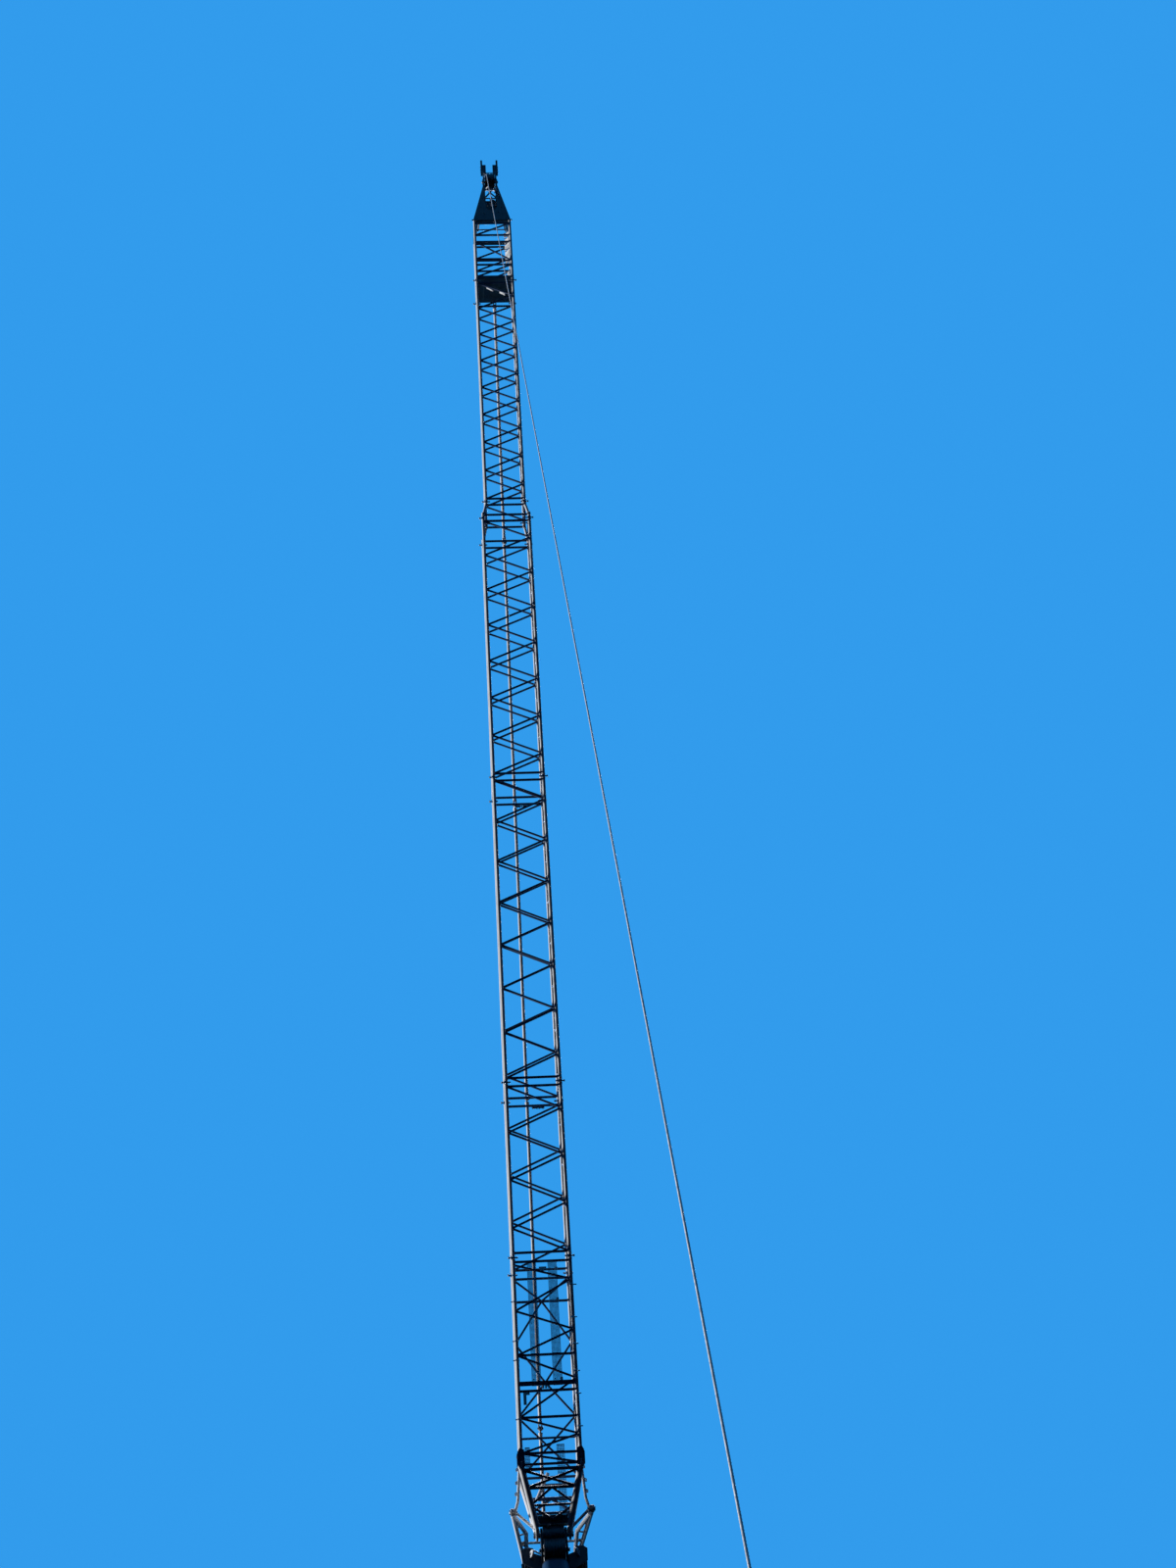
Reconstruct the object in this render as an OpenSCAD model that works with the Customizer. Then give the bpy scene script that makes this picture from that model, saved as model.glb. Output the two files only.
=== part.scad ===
// Lattice luffing jib of a crane on its boom head, a 1:10 model in millimetres.
// The jib leans towards -Y, its foot pin lies along X and +Z is up.
// The origin is on the underside of the plate that closes the cut boom.

/* [Pose] */
// Slope of the jib above level at rest, in degrees
jib_angle = 55.3; // [45:0.1:65]

/* [Jib sections] */
// Length of the butt section, from the foot pin
butt_l = 840; // [800:1:900]
// Length of the short section above the butt
section_1_l = 605; // [500:1:700]
// Length of the first long section
section_2_l = 1200; // [1000:1:1400]
// Length of the second long section
section_3_l = 1198; // [1000:1:1400]
// Length of the reducer
reducer_l = 95; // [80:1:140]
// Length of the slim section above the reducer
section_4_l = 1205; // [1000:1:1400]
// Length of the slim lattice under the head
head_section_l = 355; // [300:1:420]
// Length of the tapered part of the head
head_l = 250; // [220:1:280]

/* [Lattice] */
// Spacing of the chords across the main sections
main_w = 181; // [160:1:200]
// Spacing of the chords through the depth of the main sections
main_h = 170; // [150:1:190]
// Spacing of the chords across the slim sections
slim_w = 152; // [130:1:158]
// Spacing of the chords through the depth of the slim sections
slim_h = 139; // [120:1:150]
// Width across the main chords
main_chord_d = 12; // [10:0.5:14]
// Width across the slim chords
slim_chord_d = 11; // [9:0.5:12]
// Width across a lacing bar
lace_d = 5.5; // [4:0.5:7]
// Width across a bar of an end frame
frame_d = 6.5; // [5:0.5:8]
// Distance of an end frame from the end of its section
frame_gap = 15; // [13:1:22]
// Lacing bays on a long main section
long_bays = 7; // [5:1:9]
// Lacing bays on the short section, counted in halves
short_half_bays = 7; // [5:2:9]
// Lacing bays on the slim section
slim_bays = 8; // [6:1:10]

/* [Section joints] */
// Thickness of each outer lug plate
lug_t = 3; // [2:0.5:3.5]
// Thickness of the inner lug plate
eye_t = 5; // [4:0.5:6]
// Width of the lug plates
lug_w = 11; // [10:0.5:13]
// Diameter of the joint pins
joint_pin_d = 5; // [4:0.5:6]
// Length of the joint pins
joint_pin_l = 32; // [24:1:40]
// Clearance between a pin and its hole, or two lug faces
lug_clear = 0.2; // [0.1:0.05:0.4]

/* [Butt section] */
// Height above the foot pin at which the butt starts to taper
taper_z = 176; // [150:1:220]
// Spacing of the foot lugs
foot_w = 100; // [98:1:108]
// Thickness of a foot lug
foot_lug_t = 8; // [6:0.5:9]
// Diameter of a foot lug
foot_lug_d = 34; // [30:1:40]
// Diameter of the four foot legs
leg_d = 19; // [15:0.5:22]
// Height of the heavy cross beam above the foot pin
beam_z = 436; // [400:1:480]
// Depth of the heavy cross beam
beam_h = 13; // [9:0.5:16]
// Drop from the heavy cross beam to the light one
light_beam_drop = 23; // [20:1:30]
// Lacing bays on the underside of the butt
butt_bays = 4; // [3:1:6]
// Width of a walkway grating
grating_w = 28; // [20:1:34]
// Distance between the middles of the two gratings
grating_pitch = 66; // [56:1:80]
// Thickness of a grating
grating_t = 3; // [2:0.5:5]

/* [Pendant and A-frame] */
// Thickness of the cross plate that the pendant pulls on
bulkhead_t = 4; // [3:0.5:5]
// Height of the pendant's eye above the top chords
pendant_lug_h = 29; // [27:1:40]
// Width across the pendant bars
pendant_d = 12; // [8:0.5:13]
// Length of one pendant bar between its eyes
pendant_bar_l = 1170; // [1000:1:1300]
// Reach of the A-frame's head behind the jib's middle plane
a_frame_reach = 875; // [800:1:950]
// Drop of the A-frame's head below the foot pin along the jib
a_frame_drop = 110; // [60:1:160]
// Spacing of the A-frame's foot eyes
a_frame_foot_w = 244; // [236:1:260]
// Width of an A-frame foot eye
foot_eye_w = 10; // [8:1:12]
// Diameter of an A-frame foot eye
foot_eye_d = 22; // [18:1:24]
// Diameter of the pins in the A-frame's feet
foot_pin_d = 9; // [6:1:12]
// Height of the A-frame's feet above the foot pin along the jib
a_frame_foot_z = 72; // [60:1:90]
// Spacing of the A-frame's legs at their head
a_frame_head_w = 56; // [50:1:70]
// Width across an A-frame leg
a_frame_leg_d = 14; // [10:0.5:18]
// Diameter of the cross tube at the A-frame's head
a_frame_tube_d = 34; // [28:1:40]
// Distance from the cross tube's middle to the pendant's pin
a_frame_lug_reach = 30; // [26:1:40]

/* [Jib head] */
// Width of the head at its tip
tip_w = 60; // [56:1:70]
// Length of the parallel plates at the tip that hold the sheaves
tip_l = 94; // [86:1:110]
// Distance of the sheave axle above the end of the taper
sheave_up = 36; // [34:1:42]
// Thickness of the head's plates
head_plate_t = 5; // [4:0.5:7]
// Outside diameter of the head sheave
sheave_d = 76; // [60:1:84]
// Width of the head sheave
sheave_w = 14; // [10:0.5:18]
// Sheaves side by side in the head
head_sheave_count = 3; // [1:2:3]
// Diameter of the sheave axles
axle_d = 12; // [10:0.5:16]
// Thickness of each upright lug on the head
prong_t = 8; // [5:0.5:10]
// Width of each upright lug on the head
prong_w = 20; // [14:1:26]
// Length of the upright lugs on the head
prong_l = 80; // [70:1:100]
// Thickness of the block inside each upright lug
prong_block_t = 16; // [10:0.5:18]

/* [Hoist line] */
// Diameter of the hoist rope
rope_d = 2.4; // [2:0.1:4]
// Angle that the rope wraps round the head sheave
rope_wrap = 150; // [90:5:170]
// Length of the rope's plumb fall
rope_fall = 8380; // [6000:10:9000]
// Diameter of the ball weight above the hook
weight_d = 50; // [40:1:60]
// Thickness of the hook's bar
hook_d = 9; // [7:0.5:12]

/* [Boom head] */
// Width of the boom
boom_w = 80; // [74:1:84]
// Depth of the boom
boom_h = 104; // [90:1:120]
// Thickness of the boom's plates
boom_t = 4; // [3:0.5:6]
// Length of the boom that is built
boom_l = 270; // [200:1:400]
// Thickness of the plate that closes the cut boom
base_t = 14; // [10:1:20]
// Rim of the closing plate round the boom
base_rim = 20; // [14:1:30]
// Height of the jib's foot pin above the origin
pivot_z = 392; // [370:1:420]
// Distance of the foot pin in front of the boom's middle
pivot_y = 46; // [40:1:60]
// Diameter of the jib's foot pin
pivot_d = 16; // [12:0.5:20]
// Thickness of the boom head's cheeks
cheek_t = 6; // [4:0.5:8]
// Diameter of the boom head's sheaves
head_pack_d = 66; // [56:1:70]
// Sheaves in the boom head's pack
head_pack_count = 7; // [5:1:8]
// Running clearance of a sheave on its axle
running = 0.08; // [0.05:0.01:0.1]

/* [Hidden] */

// Stations along the jib, from the foot pin
z1 = butt_l;
z2 = z1 + section_1_l;
z3 = z2 + section_2_l;
z4 = z3 + section_3_l;
z5 = z4 + reducer_l;
z6 = z5 + section_4_l;
z7 = z6 + head_section_l;
z8 = z7 + head_l;
// Space that the lug plates take between a joint and the end of a chord
lug_l = lug_w / 2 + 2;
plug_l = 3;
lug_gap = eye_t / 2 + lug_clear;
// The cross plate stands on the chords, just above the collars of their eyes
bulkhead_z = z6 + lug_l + plug_l + 0.5;
bulkhead_slots = [[-15, -6, 11], [35, 17, 17]];
bulkhead_slot_h = 4;
pendant_top = [0, slim_h / 2 + pendant_lug_h, bulkhead_z + bulkhead_t / 2];
a_frame_top = [0, a_frame_reach, -a_frame_drop];
pendant_dir = (pendant_top - a_frame_top) / norm(pendant_top - a_frame_top);
pendant_foot = a_frame_top + a_frame_lug_reach * pendant_dir;
pendant_len = norm(pendant_top - pendant_foot);
// Turn about X that brings +Z onto the pendant, from its top down
pendant_turn = 180 + atan2(pendant_dir[2], pendant_dir[1]) - 90;
// Head sheave
sheave_z = z8 + sheave_up;
sheave_y = -26;
groove_r = sheave_d / 2 - rope_d;
bar_sides = 6;
chord_sides = 8;
pendant_bars_n = ceil(pendant_len / pendant_bar_l);
pendant_pin_d = 6;
pendant_pin_l = 28;
pendant_eye_t = 6;
pendant_eye_w = pendant_d + 4;
pendant_end_l = 15;
pendant_collar_l = 3;
pendant_lug_t = 4;
pendant_lug_r = pendant_eye_w / 2 + 1;
pendant_lug_x = pendant_eye_t / 2 + lug_clear + pendant_lug_t / 2;
bracket_boss_w = 7;
bracket_d = 9;
// Where the A-frame's bracket leaves the chords, and its knee outside them
bracket_top_z = taper_z + 86;
bracket_knee_z = a_frame_foot_z + 32;
bracket_knee_x = main_w / 2 + 13;
sheave_pitch = sheave_w + 0.6;
// Head: its outline at the base, and the opening in its underside plate
head_base_x = (slim_w + slim_chord_d) / 2;
head_base_y = (slim_h + slim_chord_d) / 2;
tip_front_y = -48;
tip_back_y = 20;
head_slot_w = min(head_sheave_count * sheave_pitch + 3, tip_w - 2 * head_plate_t);
head_slot_z = z7 + 69;
head_back_z = z7 + 150;
head_stub_d = 6;
head_stub_l = 12;
prong_y = -22;
prong_low = z8 + tip_l;
line_x = -sheave_pitch * (head_sheave_count - 1) / 2;
line_r = groove_r + rope_d / 2 + 0.3;
// Seam between two solids that meet end to end
seam = 0.02;
// Rope guides: the joint, the first roller's place across and the pitch to the second
roller_places = [[z2, 10, 20], [z3, 0, 25]];
roller_d = 13;
roller_waist_d = 7;
roller_w = 15;
roller_axle_d = 4;
roller_y = main_h / 2 + 16;
// Places of the bracing bars of the butt, as parts of its length
underside_upper = [0.94, 0.81, 0.57, 0.41, 0.22, 0.03];
underside_lower = [0.6, 0.39, 0.185, 0.06];
top_parts = [1, 0.88, 0.664, 0.464, 0.295];
pack_pitch = (boom_w - 2 * cheek_t - 4) / head_pack_count;
pack_z = pivot_z - 62;
pack_y = -boom_h / 2 + 6;

// A straight bar of few sides between two points
module bar(a, b, d, sides = bar_sides) {
  run = b - a;
  len = norm(run);
  translate(a)
    rotate([0, acos(run[2] / len), atan2(run[1], run[0])])
      cylinder(d = d, h = len, $fn = sides);
}

// Places what follows in the jib's frame: +Z along the jib, -Y its underside
module on_jib() {
  translate([0, -pivot_y, pivot_z])
    rotate([90 - jib_angle, 0, 0])
      children();
}

// Two outer lug plates above the end of a chord, with the pin's hole
module fork_end(chord_d) {
  difference() {
    union() {
      translate([0, 0, -lug_l - plug_l])
        cylinder(d = chord_d + 2, h = plug_l, $fn = chord_sides);
      for (side = [-1, 1])
        translate([side * (lug_gap + lug_t / 2), 0, 0])
          lug_plate(lug_t, lug_l);
    }
    pin_hole();
  }
}

// One inner lug plate below the end of a chord
module eye_end(chord_d) {
  difference() {
    union() {
      translate([0, 0, lug_l])
        cylinder(d = chord_d + 2, h = plug_l, $fn = chord_sides);
      mirror([0, 0, 1])
        lug_plate(eye_t, lug_l);
    }
    pin_hole();
  }
}

module lug_plate(thick, reach) {
  translate([-thick / 2, -lug_w / 2, -reach])
    cube([thick, lug_w, reach]);
  rotate([0, 90, 0])
    cylinder(d = lug_w, h = thick, center = true, $fn = 48);
}

module pin_hole() {
  rotate([0, 90, 0])
    cylinder(d = joint_pin_d + lug_clear, h = 60, center = true, $fn = 48);
}

// Both chords of one side, with a fork at the upper end and an eye at the lower end
module chord(w, h, z_low, z_high, d, side, level, eye = true, fork = true) {
  low = eye ? z_low + lug_l : z_low;
  high = fork ? z_high - lug_l : z_high;
  translate([side * w / 2, level * h / 2, 0]) {
    translate([0, 0, low])
      rotate([0, 0, 180 / chord_sides])
        cylinder(d = d, h = high - low, $fn = chord_sides);
    if (eye)
      translate([0, 0, z_low])
        eye_end(d);
    if (fork)
      translate([0, 0, z_high])
        fork_end(d);
  }
}

// Zigzag bars that start at first (-1 or 1) and cross between -1 and 1
module zigzag(z_low, z_high, halves, first, d, across) {
  step = (z_high - z_low) / halves;
  for (i = [0 : halves - 1]) {
    from = (i % 2 == 0) ? first : -first;
    bar(across_point(across, from, z_low + i * step),
        across_point(across, -from, z_low + (i + 1) * step), d);
  }
}

// across = [fixed axis value, half the spacing, 0 for a face across X or 1 for one across Y]
function across_point(across, end, z) =
  across[2] == 0 ? [end * across[1], across[0], z] : [across[0], end * across[1], z];

module rungs(stations, d, across) {
  for (z = stations)
    bar(across_point(across, -1, z), across_point(across, 1, z), d);
}

// One side of a section: two chords, the zigzag between them and the end frames' uprights
module side_panel(w, h, z_low, z_high, d, side, halves) {
  across = [side * w / 2, h / 2, 1];
  for (level = [-1, 1])
    chord(w, h, z_low, z_high, d, side, level);
  zigzag(z_low + frame_gap, z_high - frame_gap, halves, -1, lace_d, across);
  rungs([z_low + frame_gap, z_high - frame_gap], frame_d, across);
}

// The chords of a section as plain rods, to cut the lacing back to their faces
module chord_rods(w, h, z_low, z_high, d) {
  for (side = [-1, 1], level = [-1, 1])
    translate([side * w / 2, level * h / 2, z_low])
      rotate([0, 0, 180 / chord_sides])
        cylinder(d = d, h = z_high - z_low, $fn = chord_sides);
}

// The underside (level -1) or top (level 1) lacing of a section
module lacing(w, h, z_low, z_high, d, level, halves, first) {
  across = [level * h / 2, w / 2, 0];
  difference() {
    union() {
      zigzag(z_low + frame_gap, z_high - frame_gap, halves, first, lace_d, across);
      rungs([z_low + frame_gap, z_high - frame_gap], frame_d, across);
    }
    chord_rods(w, h, z_low, z_high, d);
  }
}

module steel() {
  color([0.62, 0.66, 0.70])
    on_jib()
      children();
}

module main_side(z_low, z_high, side, halves) {
  steel()
    side_panel(main_w, main_h, z_low, z_high, main_chord_d, side, halves);
}

module main_lacing(z_low, z_high, level, halves, first) {
  steel()
    lacing(main_w, main_h, z_low, z_high, main_chord_d, level, halves, first);
}

module slim_side(z_low, z_high, side, halves) {
  steel()
    side_panel(slim_w, slim_h, z_low, z_high, slim_chord_d, side, halves);
}

module section_1_left_side() {
  main_side(z1, z2, -1, short_half_bays + 1);
}

module section_1_right_side() {
  main_side(z1, z2, 1, short_half_bays + 1);
}

module section_1_underside() {
  main_lacing(z1, z2, -1, short_half_bays, 1);
}

module section_1_top() {
  main_lacing(z1, z2, 1, short_half_bays, -1);
}

module section_2_left_side() {
  main_side(z2, z3, -1, 2 * long_bays);
}

module section_2_right_side() {
  main_side(z2, z3, 1, 2 * long_bays);
}

module section_2_underside() {
  main_lacing(z2, z3, -1, 2 * long_bays, -1);
}

module section_2_top() {
  main_lacing(z2, z3, 1, 2 * long_bays, 1);
}

module section_3_left_side() {
  main_side(z3, z4, -1, 2 * long_bays);
}

module section_3_right_side() {
  main_side(z3, z4, 1, 2 * long_bays);
}

module section_3_underside() {
  main_lacing(z3, z4, -1, 2 * long_bays, -1);
}

module section_3_top() {
  main_lacing(z3, z4, 1, 2 * long_bays, 1);
}

module section_4_left_side() {
  slim_side(z5, z6, -1, 2 * slim_bays);
}

module section_4_right_side() {
  slim_side(z5, z6, 1, 2 * slim_bays);
}

module slim_lacing(z_low, z_high, level, halves, first) {
  steel()
    lacing(slim_w, slim_h, z_low, z_high, slim_chord_d, level, halves, first);
}

module section_4_underside() {
  slim_lacing(z5, z6, -1, 2 * slim_bays, -1);
}

module section_4_top() {
  slim_lacing(z5, z6, 1, 2 * slim_bays, 1);
}

// The short slim lattice under the head: its chords end in the head's plates
module head_section_side(side) {
  across = [side * slim_w / 2, slim_h / 2, 1];
  low = bulkhead_z + bulkhead_t + frame_d;
  high = z7 - frame_gap;
  steel() {
    for (level = [-1, 1])
      chord(slim_w, slim_h, z6, z7, slim_chord_d, side, level, true, false);
    zigzag(low, high, 4, -1, lace_d, across);
    rungs([low, high], frame_d, across);
  }
}

module head_section_left_side() {
  head_section_side(-1);
}

module head_section_right_side() {
  head_section_side(1);
}

// Its rungs stand at the given parts of the length, with one bar across each taller bay
module head_section_lacing(level, first, parts) {
  across = [level * slim_h / 2, slim_w / 2, 0];
  low = bulkhead_z + bulkhead_t + frame_d;
  run = z7 - frame_gap - low;
  stations = [for (part = parts) low + part * run];
  steel()
    difference() {
      union() {
        rungs(stations, frame_d, across);
        for (i = [0 : len(parts) - 2])
          if (parts[i + 1] - parts[i] > 0.15)
            zigzag(stations[i], stations[i + 1], 1, i % 4 == 0 ? first : -first, lace_d, across);
      }
      chord_rods(slim_w, slim_h, z6, z7, slim_chord_d);
    }
}

module head_section_underside() {
  head_section_lacing(-1, -1, [0, 0.22, 0.295, 0.65, 0.775, 1]);
}

module head_section_top() {
  head_section_lacing(1, 1, [0, 0.27, 0.54, 0.77, 1]);
}

// The reducer: four short sloped chords between two end frames
module reducer() {
  low = z4 + lug_l + plug_l;
  high = z5 - lug_l - plug_l;
  steel() {
    for (side = [-1, 1], level = [-1, 1]) {
      bar([side * main_w / 2, level * main_h / 2, low - 1],
          [side * slim_w / 2, level * slim_h / 2, high + 1], slim_chord_d, chord_sides);
      translate([side * main_w / 2, level * main_h / 2, z4])
        eye_end(main_chord_d);
      translate([side * slim_w / 2, level * slim_h / 2, z5])
        fork_end(slim_chord_d);
    }
    reducer_frame(low + frame_d, frame_d);
    reducer_frame(high - frame_d, frame_d);
  }
}

// A four-bar frame at a height where the reducer's chords stand
module reducer_frame(z, d) {
  low = z4 + lug_l + plug_l;
  high = z5 - lug_l - plug_l;
  part = (z - low) / (high - low);
  x = (main_w + (slim_w - main_w) * part) / 2;
  y = (main_h + (slim_h - main_h) * part) / 2;
  for (s = [-1, 1]) {
    bar([-x, s * y, z], [x, s * y, z], d);
    bar([s * x, -y, z], [s * x, y, z], d);
  }
}

// The bracket on one side of the butt that carries a foot of the A-frame
module a_frame_bracket(side) {
  boss_x = a_frame_foot_w / 2 - foot_eye_w / 2 - lug_clear - bracket_boss_w;
  corner = [side * (boss_x + bracket_boss_w / 2), 0, a_frame_foot_z];
  knee = [side * bracket_knee_x, 0, bracket_knee_z];
  bar([side * main_w / 2, 0, bracket_top_z], knee, bracket_d, chord_sides);
  bar(knee, corner, bracket_d, chord_sides);
  bar([side * foot_w / 2, 0, foot_lug_d / 2 - 2], corner, bracket_d, chord_sides);
  rungs([bracket_top_z], frame_d, [side * main_w / 2, main_h / 2, 1]);
  translate([side * (boss_x + bracket_boss_w / 2), 0, a_frame_foot_z])
    rotate([0, 90, 0])
      cylinder(d = foot_eye_d, h = bracket_boss_w, center = true, $fn = 48);
}

// One side of the butt: chords, lacing, the two thick legs, the foot lug and the A-frame's bracket
module butt_side(side) {
  across = [side * main_w / 2, main_h / 2, 1];
  foot = [side * foot_w / 2, 0, 0];
  steel()
    difference() {
      union() {
        for (level = [-1, 1]) {
          chord(main_w, main_h, taper_z, z1, main_chord_d, side, level, false, true);
          bar([side * main_w / 2, level * main_h / 2, taper_z + leg_d / 2],
              foot + [0, level * foot_lug_d / 4, 0], leg_d, chord_sides);
        }
        zigzag(taper_z + frame_gap, z1 - frame_gap, 2 * butt_bays, -1, lace_d, across);
        rungs([taper_z + frame_gap, beam_z, z1 - frame_gap], frame_d, across);
        a_frame_bracket(side);
        translate(foot)
          rotate([0, 90, 0])
            cylinder(d = foot_lug_d, h = foot_lug_t, center = true, $fn = 64);
      }
      translate([side * a_frame_foot_w / 2, 0, a_frame_foot_z])
        rotate([0, 90, 0])
          cylinder(d = foot_pin_d + lug_clear, h = 60, center = true, $fn = 48);
      translate(foot + [-side * (foot_lug_t / 2 + 20), 0, 0])
        cube([40, 2 * foot_lug_d, 2 * foot_lug_d], center = true);
      translate(foot)
        rotate([0, 90, 0])
          cylinder(d = pivot_d + 2 * running, h = 80, center = true, $fn = 64);
    }
}

module butt_left_side() {
  butt_side(-1);
}

module butt_right_side() {
  butt_side(1);
}

// Bars from node to node of [place across, station], at one level of the butt
module butt_bars(level, nodes) {
  for (i = [0 : len(nodes) - 2])
    bar([nodes[i][0] * main_w / 2, level * main_h / 2, nodes[i][1]],
        [nodes[i + 1][0] * main_w / 2, level * main_h / 2, nodes[i + 1][1]], lace_d);
}

module butt_underside() {
  across = [-main_h / 2, main_w / 2, 0];
  upper = [for (part = underside_upper) beam_z + part * (z1 - beam_z)];
  lower = [for (part = underside_lower) taper_z + part * (beam_z - taper_z)];
  stations = concat(upper, lower);
  steel()
    difference() {
      union() {
        butt_bars(-1, [for (i = [0 : len(stations) - 1]) [i % 2 == 0 ? -1 : 1, stations[i]]]);
        rungs([taper_z + frame_gap, lower[2], lower[0], upper[4], z1 - frame_gap], frame_d, across);
      }
      chord_rods(main_w, main_h, taper_z, z1, main_chord_d);
      beam_boxes();
    }
}

// Diamond bracing on the top of the butt, with a cross at its foot
module butt_top() {
  across = [main_h / 2, main_w / 2, 0];
  low = taper_z + frame_gap;
  at = [for (part = top_parts) low + part * (z1 - frame_gap - low)];
  steel()
    difference() {
      union() {
        for (s = [-1, 1])
          butt_bars(1, [[s, at[0]], [0, at[1]], [s, at[2]], [0, at[3]], [s, at[4]], [-s, low]]);
        rungs([at[0], at[1], at[4], low], frame_d, across);
      }
      chord_rods(main_w, main_h, taper_z, z1, main_chord_d);
    }
}

module beam_boxes() {
  for (beam = [[beam_z, beam_h], [beam_z - light_beam_drop, frame_d]])
    translate([-main_w / 2, -main_h / 2 - frame_d / 2, beam[0] - beam[1] / 2])
      cube([main_w, frame_d, beam[1]]);
}

// A heavy and a light cross beam on the underside of the butt
module butt_beams() {
  steel()
    difference() {
      beam_boxes();
      chord_rods(main_w, main_h, taper_z, z1, main_chord_d);
    }
}

// Two walkway gratings that lie on the underside lacing, inside the section
module walkway_gratings() {
  low = beam_z - beam_h / 2;
  len = z1 - frame_gap - low;
  bearers = 12;
  color([0.55, 0.62, 0.66])
    on_jib()
      for (side = [-1, 1])
        translate([side * grating_pitch / 2 - grating_w / 2, -main_h / 2 + frame_d / 2, low]) {
          for (x = [0, grating_w - 3])
            translate([x, 0, 0])
              cube([3, grating_t, len]);
          for (i = [0 : bearers])
            translate([0, 0, i * (len - 3) / bearers])
              cube([grating_w, grating_t, 3]);
        }
}

// A pin along X in the jib's frame
module cross_pin(at, d, len) {
  translate(at)
    rotate([0, 90, 0])
      cylinder(d = d, h = len, center = true, $fn = 32);
}

// Pins at every joint between two sections, along the pendant and in the A-frame's feet
module joint_pins() {
  joints = [[z1, main_w, main_h], [z2, main_w, main_h], [z3, main_w, main_h],
            [z4, main_w, main_h], [z5, slim_w, slim_h], [z6, slim_w, slim_h]];
  color([0.20, 0.21, 0.23])
    on_jib() {
      for (joint = joints, side = [-1, 1], level = [-1, 1])
        cross_pin([side * joint[1] / 2, level * joint[2] / 2, joint[0]], joint_pin_d, joint_pin_l);
      for (i = [0 : pendant_bars_n - 1])
        cross_pin(pendant_top - pendant_dir * i * pendant_bar_l, pendant_pin_d, pendant_pin_l);
      cross_pin(pendant_foot, pendant_pin_d, pendant_pin_l);
      for (side = [-1, 1])
        cross_pin([side * (a_frame_foot_w / 2 - bracket_boss_w / 2), 0, a_frame_foot_z],
                  foot_pin_d, foot_eye_w + bracket_boss_w + 8);
    }
}

// Cross plate at the foot of the head section, with the pendant's round-ended lugs
module pendant_bulkhead() {
  reach_y = (slim_h + slim_chord_d) / 2;
  lug_foot = 20;
  color([0.16, 0.24, 0.30])
    on_jib()
      difference() {
        union() {
          translate([-slim_w / 2, -reach_y, bulkhead_z])
            cube([slim_w, 2 * reach_y, bulkhead_t]);
          for (x = [-pendant_lug_x, pendant_lug_x]) {
            translate([x - pendant_lug_t / 2, reach_y - lug_foot, bulkhead_z - 1])
              cube([pendant_lug_t, lug_foot, bulkhead_t + 3]);
            translate([x - pendant_lug_t / 2, reach_y - 1, pendant_top[2] - pendant_lug_r])
              cube([pendant_lug_t, pendant_top[1] - reach_y + 1, 2 * pendant_lug_r]);
            cross_pin([x, pendant_top[1], pendant_top[2]], 2 * pendant_lug_r, pendant_lug_t);
          }
        }
        for (slot = bulkhead_slots)
          translate([slot[0], slot[1], bulkhead_z])
            cube([slot[2], bulkhead_slot_h, 4 * bulkhead_t], center = true);
        chord_rods(slim_w, slim_h, z6, z7, slim_chord_d);
        cross_pin(pendant_top, pendant_pin_d + lug_clear, 60);
      }
}

// One pendant bar along +Z: an eye at its start, and a fork at its end if another bar follows
module pendant_bar(len, fork) {
  difference() {
    union() {
      translate([-pendant_eye_t / 2, -pendant_eye_w / 2, 0])
        cube([pendant_eye_t, pendant_eye_w, pendant_end_l]);
      cross_pin([0, 0, 0], pendant_eye_w, pendant_eye_t);
      for (z = [pendant_end_l, len - pendant_end_l - pendant_collar_l])
        translate([0, 0, z])
          cylinder(d = pendant_eye_w, h = pendant_collar_l, $fn = chord_sides);
      translate([0, 0, pendant_end_l])
        cylinder(d = pendant_d, h = len - 2 * pendant_end_l, $fn = chord_sides);
      for (x = fork ? [-pendant_lug_x, pendant_lug_x] : [0]) {
        translate([x - pendant_lug_t / 2, -pendant_eye_w / 2, len - pendant_end_l])
          cube([pendant_lug_t, pendant_eye_w, pendant_end_l]);
        cross_pin([x, 0, len], pendant_eye_w, pendant_lug_t);
      }
    }
    for (z = [0, len])
      cross_pin([0, 0, z], pendant_pin_d + lug_clear, 60);
  }
}

// The pendant from the cross plate down to the A-frame, as a row of pinned bars
module pendant_bars() {
  color([0.72, 0.75, 0.78])
    on_jib()
      translate(pendant_top)
        rotate([pendant_turn, 0, 0])
          for (i = [0 : pendant_bars_n - 1])
            translate([0, 0, i * pendant_bar_l])
              pendant_bar(min(pendant_bar_l, pendant_len - i * pendant_bar_l),
                          i < pendant_bars_n - 1);
}

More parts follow.
